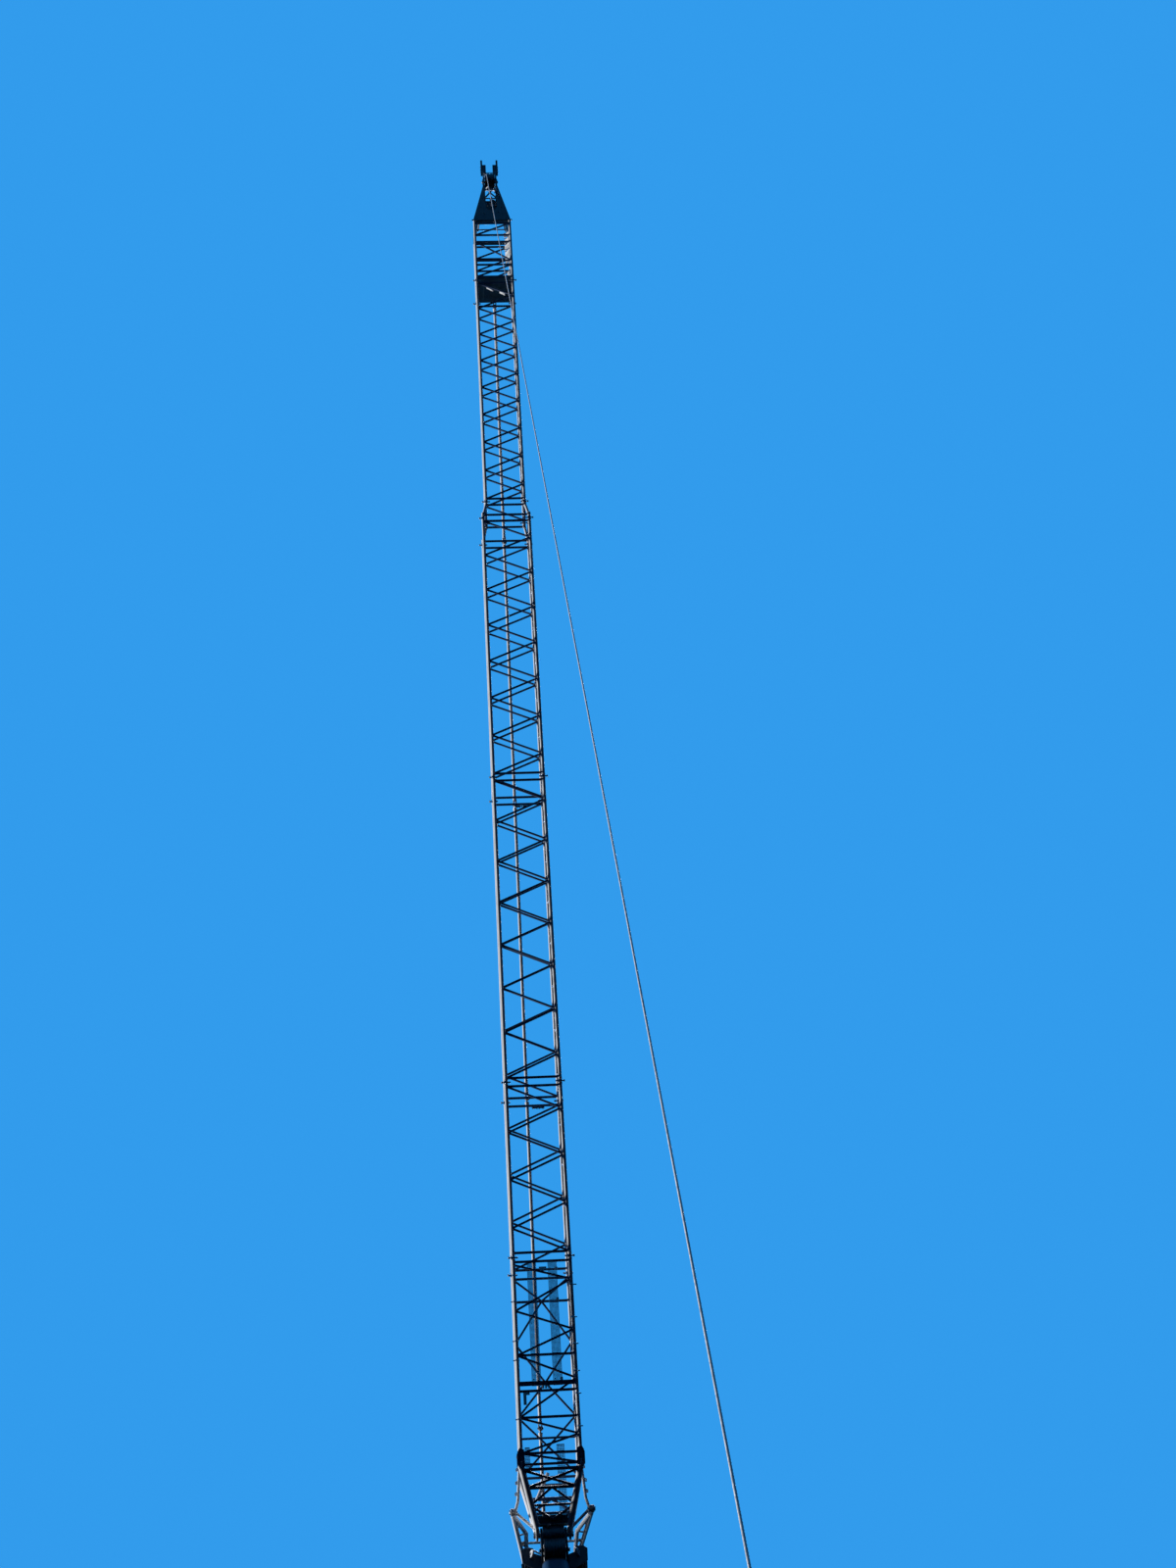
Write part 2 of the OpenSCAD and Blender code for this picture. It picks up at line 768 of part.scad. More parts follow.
// The A-frame that carries the pendant behind the jib
module a_frame() {
  foot = [a_frame_foot_w / 2, 0, a_frame_foot_z];
  head = [a_frame_head_w / 2, a_frame_reach, -a_frame_drop];
  steel()
    difference() {
      union() {
        for (side = [-1, 1]) {
          bar([side * foot[0], foot[1], foot[2]], [side * head[0], head[1], head[2]],
              a_frame_leg_d, chord_sides);
          cross_pin([side * foot[0], 0, foot[2]], foot_eye_d, foot_eye_w);
          translate([side * pendant_lug_x, 0, 0])
            hull() {
              cross_pin([0, head[1], head[2]], a_frame_tube_d - 6, pendant_lug_t);
              cross_pin(pendant_foot, pendant_eye_w + 4, pendant_lug_t);
            }
        }
        for (part = [0.25, 0.5, 0.75]) {
          at = foot + (head - foot) * part;
          bar([-at[0], at[1], at[2]], [at[0], at[1], at[2]], lace_d + 2, chord_sides);
        }
        cross_pin([0, head[1], head[2]], a_frame_tube_d, a_frame_head_w + a_frame_leg_d);
      }
      for (side = [-1, 1]) {
        cross_pin([side * foot[0], 0, foot[2]], foot_pin_d + lug_clear, 40);
        translate([side * (foot[0] - foot_eye_w / 2 - 20), 0, foot[2]])
          cube([40, 50, 50], center = true);
      }
      cross_pin(pendant_foot, pendant_pin_d + lug_clear, 60);
    }
}

// The head: a tapered plated box, open at its back, and two parallel plates with the upright lugs
module jib_head() {
  color([0.20, 0.30, 0.36])
    on_jib()
      difference() {
        union() {
          difference() {
            head_taper(0, 0);
            head_taper(head_plate_t, 1);
            intersection() {
              head_front(head_plate_t, 1);
              translate([-head_base_x, 0, z7 - 1])
                cube([2 * head_base_x, 2 * head_base_y, head_back_z - z7 + 1]);
            }
          }
          for (side = [-1, 1]) {
            tip_plate(side);
            head_prong(side);
            cross_pin([side * head_base_x, -slim_h / 2, z7 + head_stub_d],
                      head_stub_d, head_stub_l);
          }
        }
        cross_pin([0, sheave_y, sheave_z], axle_d, 2 * head_base_x);
        translate([-head_slot_w / 2, -2 * head_base_y, head_slot_z + head_slot_w / 2])
          cube([head_slot_w, 4 * head_base_y, prong_low - head_slot_z - head_slot_w / 2]);
        translate([0, 0, head_slot_z + head_slot_w / 2])
          rotate([90, 0, 0])
            cylinder(d = head_slot_w, h = 2 * head_base_y, $fn = 48);
      }
}

// Front outline of the taper, drawn in by inset and run past its ends by past
module head_front(inset, past) {
  low_x = head_base_x - inset;
  high_x = tip_w / 2 - inset;
  rotate([90, 0, 0])
    linear_extrude(height = 4 * head_base_y, center = true)
      polygon([[-low_x, z7 - past], [low_x, z7 - past], [high_x, z8 + past], [-high_x, z8 + past]]);
}

module head_taper(inset, past) {
  intersection() {
    head_front(inset, past);
    rotate([90, 0, 90])
      linear_extrude(height = 4 * head_base_x, center = true)
        polygon([[-head_base_y + inset, z7 - past], [head_base_y - inset, z7 - past],
                 [tip_back_y - inset, z8 + past], [tip_front_y + inset, z8 + past]]);
  }
}

// A parallel plate at the tip, which holds one end of the sheave axle
module tip_plate(side) {
  lean = 8;
  translate([side * (tip_w / 2 - head_plate_t / 2) - head_plate_t / 2, 0, 0])
    rotate([90, 0, 90])
      linear_extrude(height = head_plate_t)
        polygon([[tip_front_y, z8 - 2], [tip_back_y, z8 - 2], [tip_back_y - lean, prong_low],
                 [tip_front_y + lean, prong_low]]);
}

// An upright lug on the tip, with a block bolted to its inner face
module head_prong(side) {
  block_l = 0.6 * prong_l;
  foot = 4;
  translate([side * (tip_w / 2 + prong_t / 2) - prong_t / 2, prong_y - prong_w / 2, prong_low - foot])
    cube([prong_t, prong_w, prong_l + foot]);
  translate([side * (tip_w / 2 - prong_block_t / 2 + 1) - prong_block_t / 2,
             prong_y - prong_w / 2 + 2, prong_low])
    cube([prong_block_t, prong_w - 4, block_l]);
}

// Waisted guide rollers for the hoist rope, in brackets on the top rungs of two joints
module rope_rollers() {
  bracket_t = 2;
  bracket_l = 12;
  rung_top = main_h / 2 + frame_d / 2 * cos(30);
  half = roller_w / 2 + bracket_t;
  color([0.25, 0.27, 0.30])
    on_jib()
      for (place = roller_places)
        translate([place[1], 0, place[0] - frame_gap]) {
          for (x = [-half, place[2] / 2, place[2] + half])
            translate([x - bracket_t / 2, rung_top, -bracket_l / 2])
              cube([bracket_t, roller_y - rung_top + roller_axle_d, bracket_l]);
          for (x = [0, place[2]])
            translate([x, roller_y, 0])
              waisted_roller();
          cross_pin([place[2] / 2, roller_y, 0], roller_axle_d, place[2] + 2 * half + 4);
        }
}

module waisted_roller() {
  r = roller_d / 2;
  w = roller_w / 2;
  rotate([0, 90, 0])
    rotate_extrude($fn = 48)
      polygon([[0, -w], [r, -w], [roller_waist_d / 2, -w / 4], [roller_waist_d / 2, w / 4],
               [r, w], [0, w]]);
}

module head_sheave_axle() {
  color([0.30, 0.31, 0.33])
    on_jib()
      cross_pin([0, sheave_y, sheave_z], axle_d - 2 * running, tip_w + 12);
}

// A grooved sheave about the X axis
module sheave(d, w, bore_d, groove_d) {
  rotate([0, 90, 0])
    rotate_extrude($fn = 96)
      polygon([[bore_d / 2, -w / 2], [bore_d / 2 + 5, -w / 2], [bore_d / 2 + 5, -w / 4],
               [d / 2 - groove_d * 2.4, -w / 4], [d / 2 - groove_d * 2, -w / 2], [d / 2, -w / 2],
               [d / 2 - groove_d, -groove_d / 2], [d / 2 - groove_d, groove_d / 2],
               [d / 2, w / 2], [d / 2 - groove_d * 2, w / 2], [d / 2 - groove_d * 2.4, w / 4],
               [bore_d / 2 + 5, w / 4], [bore_d / 2 + 5, w / 2], [bore_d / 2, w / 2]]);
}

module head_sheave() {
  color([0.14, 0.15, 0.17])
    on_jib()
      for (i = [0 : head_sheave_count - 1])
        translate([line_x + i * sheave_pitch, sheave_y, sheave_z])
          sheave(sheave_d, sheave_w, axle_d, rope_d);
}

// The middle of the head sheave in the part's own frame
function sheave_world() =
  let (a = 90 - jib_angle)
    [0, -pivot_y + sheave_y * cos(a) - sheave_z * sin(a),
     pivot_z + sheave_y * sin(a) + sheave_z * cos(a)];

module on_line() {
  c = sheave_world();
  translate([line_x, c[1] - line_r, c[2]])
    children();
}

// The rope's plumb fall, and its wrap over the sheave
module hoist_rope() {
  color([0.55, 0.57, 0.60])
    on_line() {
      translate([0, 0, -rope_fall])
        cylinder(d = rope_d, h = rope_fall - seam, $fn = 24);
      translate([0, line_r, 0])
        rotate([0, 90, 0])
          rotate([0, 0, 270 - rope_wrap])
            rotate_extrude(angle = rope_wrap, $fn = 96)
              translate([line_r, 0])
                circle(d = rope_d, $fn = 24);
    }
}

// A ball weight with a neck, turned about the rope
module hoist_weight() {
  color([0.22, 0.24, 0.27])
    on_line()
      translate([0, 0, -rope_fall - weight_d / 2 - 8])
        rotate_extrude($fn = 64)
          polygon(concat([[0, -weight_d / 2]],
                         [for (a = [-80 : 10 : 70]) weight_d / 2 * [cos(a), sin(a)]],
                         [[8, weight_d / 2 + 1], [5, weight_d / 2 + 8], [0, weight_d / 2 + 8]]));
}

// A round bar bent to a hook below the weight
module hook() {
  top = -rope_fall - weight_d - 8;
  r = 14;
  shank_l = 18;
  color([0.45, 0.20, 0.12])
    on_line()
      translate([0, 0, top]) {
        translate([0, 0, -shank_l])
          cylinder(d = hook_d, h = shank_l, $fn = 32);
        translate([0, 0, -shank_l - r])
          rotate([0, -90, 0])
            rotate_extrude(angle = -270, $fn = 64)
              translate([r, 0])
                circle(d = hook_d, $fn = 24);
      }
}

// The short length of boom below its head: a box with a round front
module boom_outline(grow) {
  w = boom_w / 2 - grow;
  d = boom_h / 2 - grow;
  r = 26 - grow;
  union() {
    translate([-w, -d + r])
      square([2 * w, 2 * d - r]);
    translate([-w + r, -d])
      square([2 * (w - r), r + 1]);
    for (s = [-1, 1])
      translate([s * (w - r), -d + r])
        circle(r = r, $fn = 64);
  }
}

module base_plate() {
  color([0.35, 0.38, 0.42])
    translate([-boom_w / 2 - base_rim, -boom_h / 2 - base_rim, 0])
      cube([boom_w + 2 * base_rim, boom_h + 2 * base_rim, base_t]);
}

module boom_box() {
  color([0.16, 0.28, 0.42])
    translate([0, 0, base_t])
      linear_extrude(height = boom_l)
        difference() {
          boom_outline(0);
          boom_outline(boom_t);
        }
}

// The boom head: a closed deck on the box and two cheeks that hold the pins
module boom_head() {
  low = base_t + boom_l;
  color([0.10, 0.12, 0.15])
    difference() {
      union() {
        translate([0, 0, low])
          linear_extrude(height = 6)
            boom_outline(0);
        for (side = [-1, 1])
          translate([side * (boom_w / 2 - cheek_t / 2) - cheek_t / 2, 0, 0])
            rotate([90, 0, 90])
              linear_extrude(height = cheek_t)
                polygon([[-boom_h / 2 + 14, low + 5], [boom_h / 2, low + 5], [boom_h / 2, low + 30],
                         [-pivot_y + 26, pivot_z + 12], [-pivot_y, pivot_z + 22],
                         [-pivot_y - 20, pivot_z + 10], [-pivot_y - 26, pack_z - 10]]);
      }
      translate([0, -pivot_y, pivot_z])
        rotate([0, 90, 0])
          cylinder(d = pivot_d + 2 * running, h = 2 * boom_w, center = true, $fn = 64);
      translate([0, pack_y, pack_z])
        rotate([0, 90, 0])
          cylinder(d = axle_d, h = 2 * boom_w, center = true, $fn = 64);
    }
}

module boom_head_sheaves() {
  color([0.12, 0.16, 0.20])
    for (i = [0 : head_pack_count - 1])
      translate([(i - (head_pack_count - 1) / 2) * pack_pitch, pack_y, pack_z])
        sheave(head_pack_d, pack_pitch - 0.6, axle_d, 2);
}

module boom_head_axle() {
  color([0.30, 0.31, 0.33])
    translate([0, pack_y, pack_z])
      rotate([0, 90, 0])
        cylinder(d = axle_d - 2 * running, h = boom_w + 12, center = true, $fn = 48);
}

module jib_pivot_pin() {
  color([0.30, 0.31, 0.33])
    translate([0, -pivot_y, pivot_z])
      rotate([0, 90, 0])
        cylinder(d = pivot_d, h = foot_w + foot_lug_t + 10, center = true, $fn = 48);
}

base_plate();
boom_box();
boom_head();
boom_head_sheaves();
boom_head_axle();
jib_pivot_pin();
butt_left_side();
butt_right_side();
butt_underside();
butt_top();
butt_beams();
walkway_gratings();
section_1_left_side();
section_1_right_side();
section_1_underside();
section_1_top();
section_2_left_side();
section_2_right_side();
section_2_underside();
section_2_top();
section_3_left_side();
section_3_right_side();
section_3_underside();
section_3_top();
reducer();
section_4_left_side();
section_4_right_side();
section_4_underside();
section_4_top();
head_section_left_side();
head_section_right_side();
head_section_underside();
head_section_top();
joint_pins();
pendant_bulkhead();
pendant_bars();
a_frame();
jib_head();
rope_rollers();
head_sheave_axle();
head_sheave();
hoist_rope();
hoist_weight();
hook();
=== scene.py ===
"""Looks of a crane's lattice luffing jib on its boom head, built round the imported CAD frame."""

from math import ceil, cos, pi, radians, sin

import bpy
from bpy.props import FloatProperty, FloatVectorProperty, IntProperty, PointerProperty
from bpy.types import Operator, Panel, PropertyGroup
from mathutils import Matrix, Vector
from mathutils.geometry import tessellate_polygon


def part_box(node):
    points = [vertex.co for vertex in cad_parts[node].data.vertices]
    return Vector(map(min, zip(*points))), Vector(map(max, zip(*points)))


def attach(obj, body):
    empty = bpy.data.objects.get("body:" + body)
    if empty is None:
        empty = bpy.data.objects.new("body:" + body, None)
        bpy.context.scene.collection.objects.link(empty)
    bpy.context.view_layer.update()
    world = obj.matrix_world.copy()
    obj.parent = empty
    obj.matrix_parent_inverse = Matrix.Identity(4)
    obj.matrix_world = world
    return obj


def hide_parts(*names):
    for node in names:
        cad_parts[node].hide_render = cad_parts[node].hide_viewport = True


bl_info = {
    "name": "Lattice luffing jib",
    "version": (1, 0, 0),
    "blender": (4, 5, 0),
    "location": "3D View > Sidebar > Jib",
    "description": "Round tubes, plates, sheaves, rope and paint of a crane's lattice jib",
    "category": "Object",
}

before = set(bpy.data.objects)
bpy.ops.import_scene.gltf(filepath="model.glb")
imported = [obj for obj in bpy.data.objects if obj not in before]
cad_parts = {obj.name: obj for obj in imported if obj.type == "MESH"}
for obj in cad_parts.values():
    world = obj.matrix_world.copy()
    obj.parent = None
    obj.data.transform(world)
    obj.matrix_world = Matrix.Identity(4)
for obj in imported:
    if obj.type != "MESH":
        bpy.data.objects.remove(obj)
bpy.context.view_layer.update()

MM = 0.001
CHORD_SIDES = 20
BAR_SIDES = 12
BOTH = (-1, 1)
X, Y, Z = (1, 0, 0), (0, 1, 0), (0, 0, 1)
DOWN, UNDER = (0, 0, -1), (0, -1, 0)
WELD_SECTION = (0.3, 1.57, 2.9, 4.3)
WELD_RISE = 0.45


# ---------------------------------------------------------------- sizes and finishes


def length(name, default, description, low=0.0):
    return FloatProperty(name=name, description=description, default=default, min=low,
                         unit="LENGTH", precision=4)


def colour(name, default, description):
    return FloatVectorProperty(name=name, description=description, default=default, size=3,
                               min=0.0, max=1.0, subtype="COLOR")


class JibSizes(PropertyGroup):
    """Sizes of the jib, which are those of the CAD frame"""

    slope: FloatProperty(name="Slope", description="Slope of the jib above level at rest",
                         default=radians(55.3), subtype="ANGLE")
    pivot_y: length("Pin reach", 0.046, "Distance of the foot pin in front of the boom's middle")
    pivot_z: length("Pin height", 0.392, "Height of the foot pin above the base")
    butt: length("Butt", 0.840, "Length of the butt section from the foot pin")
    section_1: length("Section 1", 0.605, "Length of the short section")
    section_2: length("Section 2", 1.200, "Length of the first long section")
    section_3: length("Section 3", 1.198, "Length of the second long section")
    reducer: length("Reducer", 0.095, "Length of the reducer")
    section_4: length("Section 4", 1.205, "Length of the slim section")
    head_section: length("Head section", 0.355, "Length of the slim lattice under the head")
    head: length("Head", 0.250, "Length of the tapered part of the head")
    main_w: length("Main width", 0.181, "Spacing of the main chords across the jib")
    main_h: length("Main depth", 0.170, "Spacing of the main chords through the jib")
    slim_w: length("Slim width", 0.152, "Spacing of the slim chords across the jib")
    slim_h: length("Slim depth", 0.139, "Spacing of the slim chords through the jib")
    main_chord: length("Main chord", 0.012, "Diameter of the main chords")
    slim_chord: length("Slim chord", 0.011, "Diameter of the slim chords")
    lacing: length("Lacing", 0.0061, "Diameter of a lacing tube")
    end_frame: length("End frame", 0.0070, "Diameter of a tube of an end frame")
    frame_gap: length("End frame gap", 0.015, "Distance of an end frame from its section's end")
    long_bays: IntProperty(name="Long bays", description="Lacing bays on a long main section",
                           default=7, min=1)
    slim_bays: IntProperty(name="Slim bays", description="Lacing bays on the slim section",
                           default=8, min=2)
    rope: length("Hoist rope", 0.0032, "Diameter of the hoist rope")
    rope_fall: length("Rope fall", 8.380, "Length of the rope's plumb fall")


class JibFinishes(PropertyGroup):
    """Colours of the paint and the steel"""

    lattice: colour("Lattice", (0.87, 0.89, 0.91), "Paint of the chords, the legs and the A-frame")
    # The lacing colour is painted shade: a dark navy in place of the lattice's pale paint, for the shade on
    # the lacing, the end frames and the beams.
    lacing: colour("Lacing", (0.075, 0.110, 0.200), "Paint of the lacing, the end frames and the beams")
    # The plate colour also paints the foot box, where it is painted shade.
    plate: colour("Plates", (0.030, 0.075, 0.105), "Paint of the head and the pendant's cross plate")
    boom: colour("Boom", (0.022, 0.075, 0.170), "Paint of the boom")
    black: colour("Boom head", (0.012, 0.016, 0.024), "Paint of the boom head")
    steel: colour("Pins", (0.20, 0.21, 0.23), "Steel of pins and axles")
    iron: colour("Sheaves", (0.035, 0.040, 0.050), "Iron of the sheaves and rollers")
    pendant: colour("Pendant", (0.88, 0.89, 0.90), "Paint of the pendant bars")
    grating: colour("Gratings", (0.10, 0.20, 0.27), "Metal of the walkway gratings")
    rope: colour("Rope", (0.74, 0.76, 0.78), "Wire of the hoist rope")
    weight: colour("Weight", (0.045, 0.055, 0.075), "Paint of the ball weight")
    hook: colour("Hook", (0.20, 0.045, 0.025), "Paint of the hook")


class StageSetting(PropertyGroup):
    """Light, floor and backdrop"""

    key: FloatProperty(name="Key light", description="Strength of the soft light from the left",
                       default=3.6, min=0.0)
    key_size: FloatProperty(name="Key size", description="Angle that the soft light fills",
                            default=radians(9), subtype="ANGLE")
    fill: FloatProperty(name="Fill", description="Strength of the light from all round",
                        default=0.045, min=0.0)
    fill_colour: colour("Fill colour", (0.10, 0.32, 1.0), "Colour of the light from all round")
    top: FloatProperty(name="Top light", description="Strength of the soft light from above and behind",
                       default=1.7, min=0.0)
    backdrop: colour("Backdrop", (0.032, 0.330, 0.84), "Colour behind the jib")
    floor: colour("Floor", (0.90, 0.90, 0.90), "Colour of the floor")
    floor_z: FloatProperty(name="Floor height", description="Height of the floor",
                           default=-6.80, unit="LENGTH")


# ---------------------------------------------------------------- mesh building


# Slot of the lacing's dark paint in a mesh of the lattice, painted shade where the lattice's pale paint
# would be.
PAINTED_SHADE_COAT = 1


class Shape:
    """Tubes, plates and turned parts that end up in one mesh. `coat` is the paint of what comes next, the
    slot's own finish or the lacing's painted shade.
    """

    def __init__(self, place=None):
        self.place = place or Matrix.Identity(4)
        self.verts, self.faces, self.smooth, self.coats, self.coat = [], [], [], [], 0

    def add(self, verts, faces, smooth):
        base = len(self.verts)
        self.verts.extend(self.place @ Vector(v) for v in verts)
        self.faces.extend(tuple(base + i for i in f) for f in faces)
        self.smooth.extend([smooth] * len(faces))
        self.coats.extend([self.coat] * len(faces))

    def rings(self, rings, caps=True, closed=False, smooth=True):
        """Skins rings of points, each ring as long as the next."""
        n = len(rings[0])
        verts = [p for ring in rings for p in ring]
        last = len(rings) if closed else len(rings) - 1
        sides = []
        for i in range(last):
            a, b = i * n, ((i + 1) % len(rings)) * n
            sides.extend((a + k, a + (k + 1) % n, b + (k + 1) % n, b + k) for k in range(n))
        self.add(verts, sides, smooth)
        if caps and not closed:
            self.ends(rings)

    def ends(self, rings):
        """Closes a skin with a flat face on its first and on its last ring."""
        order = tuple(range(len(rings[0])))
        self.add(rings[0], [order[::-1]], False)
        self.add(rings[-1], [order], False)

    def turned(self, at, axis, profile, sides=24, caps=True):
        """Turns (distance along the axis, radius) pairs about an axis, with a crease at each pair."""
        at, u, v, w = Vector(at), *across(axis)
        rings = [[at + w * t + (u * cos(2 * pi * k / sides) + v * sin(2 * pi * k / sides)) * r
                  for k in range(sides)] for t, r in profile]
        for a, b in zip(rings, rings[1:]):
            self.rings([a, b], caps=False)
        if caps:
            self.ends(rings)

    def tube(self, a, b, d, sides=BAR_SIDES):
        """A round bar from point to point."""
        a, b = Vector(a), Vector(b)
        self.turned(a, b - a, [(0, d / 2), ((b - a).length, d / 2)], sides)

    def swept(self, points, d, sides=10, closed=False, lobes=0, lay=0.0, dip=0.0):
        """A rod along points. Lobes give it the strands of a rope, with their lay length."""
        points = [Vector(p) for p in points]
        n = len(points)
        rings, gone, side = [], 0.0, None
        for i, p in enumerate(points):
            ahead = points[(i + 1) % n] if closed or i < n - 1 else p
            back = points[i - 1] if closed or i > 0 else p
            w = (ahead - back).normalized()
            if side is None:
                side = across(w)[0]
            side = (side - w * side.dot(w)).normalized()
            up = w.cross(side)
            if i:
                gone += (p - points[i - 1]).length
            turn = 2 * pi * gone / lay if lay else 0.0
            ring = []
            for k in range(sides):
                t = 2 * pi * k / sides
                r = d / 2 * (1 - dip * (0.5 - 0.5 * cos(lobes * t))) if lobes else d / 2
                ring.append(p + (side * cos(t + turn) + up * sin(t + turn)) * r)
            rings.append(ring)
        self.rings(rings, not closed, closed)

    def plate(self, outline, thick, at, x_axis, y_axis, holes=()):
        """A flat plate: an outline and holes in its own x and y, thick about its middle."""
        at, x, y = Vector(at), Vector(x_axis).normalized(), Vector(y_axis).normalized()
        z = x.cross(y)
        loops = [list(outline)] + [list(h) for h in holes]
        flat = [Vector((p[0], p[1], 0)) for loop in loops for p in loop]
        tris = tessellate_polygon([[Vector((p[0], p[1], 0)) for p in loop] for loop in loops])
        front = [at + x * p.x + y * p.y + z * thick / 2 for p in flat]
        back = [p - z * thick for p in front]
        n = len(flat)
        faces = []
        for t in tris:
            a, b, c = (flat[i] for i in t)
            t = t if (b - a).cross(c - a).z > 0 else (t[0], t[2], t[1])
            faces.append(tuple(t))
            faces.append((t[0] + n, t[2] + n, t[1] + n))
        base = 0
        for number, loop in enumerate(loops):
            m = len(loop)
            area = sum(loop[k][0] * loop[(k + 1) % m][1] - loop[(k + 1) % m][0] * loop[k][1]
                       for k in range(m))
            flip = (area > 0) == (number == 0)
            for k in range(m):
                i, j = base + k, base + (k + 1) % m
                faces.append((i + n, j + n, j, i) if flip else (i, j, j + n, i + n))
            base += m
        self.add(front + back, faces, False)

    def block(self, at, size, turn=None):
        """A rectangular bar or flat, centred, with its edges along the frame's axes or turned."""
        turn = turn or Matrix.Identity(3)
        h = [s / 2 for s in size]
        corners = [(x, y, z) for x in (-h[0], h[0]) for y in (-h[1], h[1]) for z in (-h[2], h[2])]
        verts = [Vector(at) + turn @ Vector(c) for c in corners]
        faces = [(0, 1, 3, 2), (4, 6, 7, 5), (0, 4, 5, 1), (2, 3, 7, 6), (0, 2, 6, 4), (1, 5, 7, 3)]
        self.add(verts, faces, False)

    def bead(self, at, axis, d, thick=1.1 * MM, sides=12):
        """A weld bead round a tube."""
        at, u, v, w = Vector(at), *across(axis)
        rings = []
        for k in range(sides):
            t = 2 * pi * k / sides
            out = u * cos(t) + v * sin(t)
            rings.append([at + out * (d / 2 + thick * WELD_RISE * cos(q)) + w * thick * sin(q)
                          for q in WELD_SECTION])
        self.rings(rings, closed=True)

    def bar(self, a, b, d, out, reach=0.0):
        """A square tube with one flat side square to `out`, and a weld round each end, in the lacing's dark
        paint as painted shade.
        """
        a, b, out = Vector(a), Vector(b), Vector(out)
        w = (b - a).normalized()
        v = (out - w * out.dot(w)).normalized()
        u = v.cross(w)
        h, c = d / 2, 0.12 * d
        # Painted shade: the bar and its welds take the lacing's dark paint.
        self.coat = PAINTED_SHADE_COAT
        outline = ((c - h, -h), (h - c, -h), (h, c - h), (h, h - c),
                   (h - c, h), (c - h, h), (-h, h - c), (-h, c - h))
        self.rings([[end + u * x + v * y for x, y in outline] for end in (a, b)], smooth=False)
        for at in (a + w * reach, b - w * reach):
            self.rings([[at + (u * x + v * y) * (h + MM * WELD_RISE * cos(q)) + w * MM * sin(q)
                         for q in WELD_SECTION]
                        for x, y in ((-1, -1), (1, -1), (1, 1), (-1, 1))], closed=True, smooth=False)
        self.coat = 0

    def welded(self, a, b, d, reach=0.0, sides=BAR_SIDES):
        """A tube between two tube centres with weld beads where it leaves their surfaces."""
        a, b = Vector(a), Vector(b)
        w = (b - a).normalized()
        self.tube(a, b, d, sides)
        for at in (a + w * reach, b - w * reach):
            self.bead(at, w, d)

    def bolt(self, at, axis, d):
        """A hexagon head on a washer."""
        w = Vector(axis).normalized()
        washer, high = 0.18 * d, 0.7 * d
        self.turned(at, axis, [(0, d * 1.15), (washer, d * 1.15)], 14)
        self.turned(Vector(at) + w * washer, axis,
                    [(0, d * 0.88), (high * 0.85, d * 0.88), (high, d * 0.7)], 6)


def across(axis):
    """Two directions square to an axis, and the axis itself."""
    w = Vector(axis).normalized()
    guess = Vector(X) if abs(w.x) < 0.8 else Vector(Z)
    v = w.cross(guess).normalized()
    return v.cross(w), v, w


def circle(d, at=(0, 0), sides=20, start=0.0, turn=2 * pi):
    n = sides if turn >= 2 * pi else sides + 1
    return [(at[0] + d / 2 * cos(start + turn * k / sides),
             at[1] + d / 2 * sin(start + turn * k / sides)) for k in range(n)]


def lug_outline(width, reach):
    """A lug: straight sides up from its root, and a round end about its eye at (0, 0)."""
    return [(-width / 2, -reach), (width / 2, -reach)] + circle(width, sides=12, turn=pi)


def ring(shape, at, axis, bore, outside, width, sides=36):
    """A bored disc about a point, with small chamfers."""
    c = min(0.6 * MM, width / 5)
    h, r0, r1 = width / 2, bore / 2, outside / 2
    profile = [(-h, r0), (-h, r1 - c), (-h + c, r1), (h - c, r1), (h, r1 - c), (h, r0), (-h, r0)]
    shape.turned(at, axis, profile, sides, caps=False)


def make(shape, name, slot, replaces=(), bevel=0.0, body="jib", finish=None):
    """Turns a shape into an object that rides on a CAD body, in its slot's finish or another."""
    if not shape.faces:
        raise RuntimeError(f"{name} has no faces")
    mesh = bpy.data.meshes.new(name)
    mesh.from_pydata([tuple(v) for v in shape.verts], [], shape.faces)
    mesh.polygons.foreach_set("use_smooth", shape.smooth)
    mesh.materials.append(finishes()[finish or slot])
    # Faces in the painted-shade coat get the lacing's dark paint, painted shade, as a second material.
    if PAINTED_SHADE_COAT in shape.coats:
        mesh.materials.append(finishes()["lacing"])
        mesh.polygons.foreach_set("material_index", shape.coats)
    mesh.validate()
    mesh.update()
    obj = bpy.data.objects.new(name, mesh)
    bpy.context.scene.collection.objects.link(obj)
    if bevel:
        edge = obj.modifiers.new("edges", "BEVEL")
        edge.width, edge.segments, edge.limit_method = bevel, 1, "ANGLE"
        edge.angle_limit = radians(50)
    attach(obj, body)
    if replaces:
        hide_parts(*replaces)
    return obj


# ---------------------------------------------------------------- materials


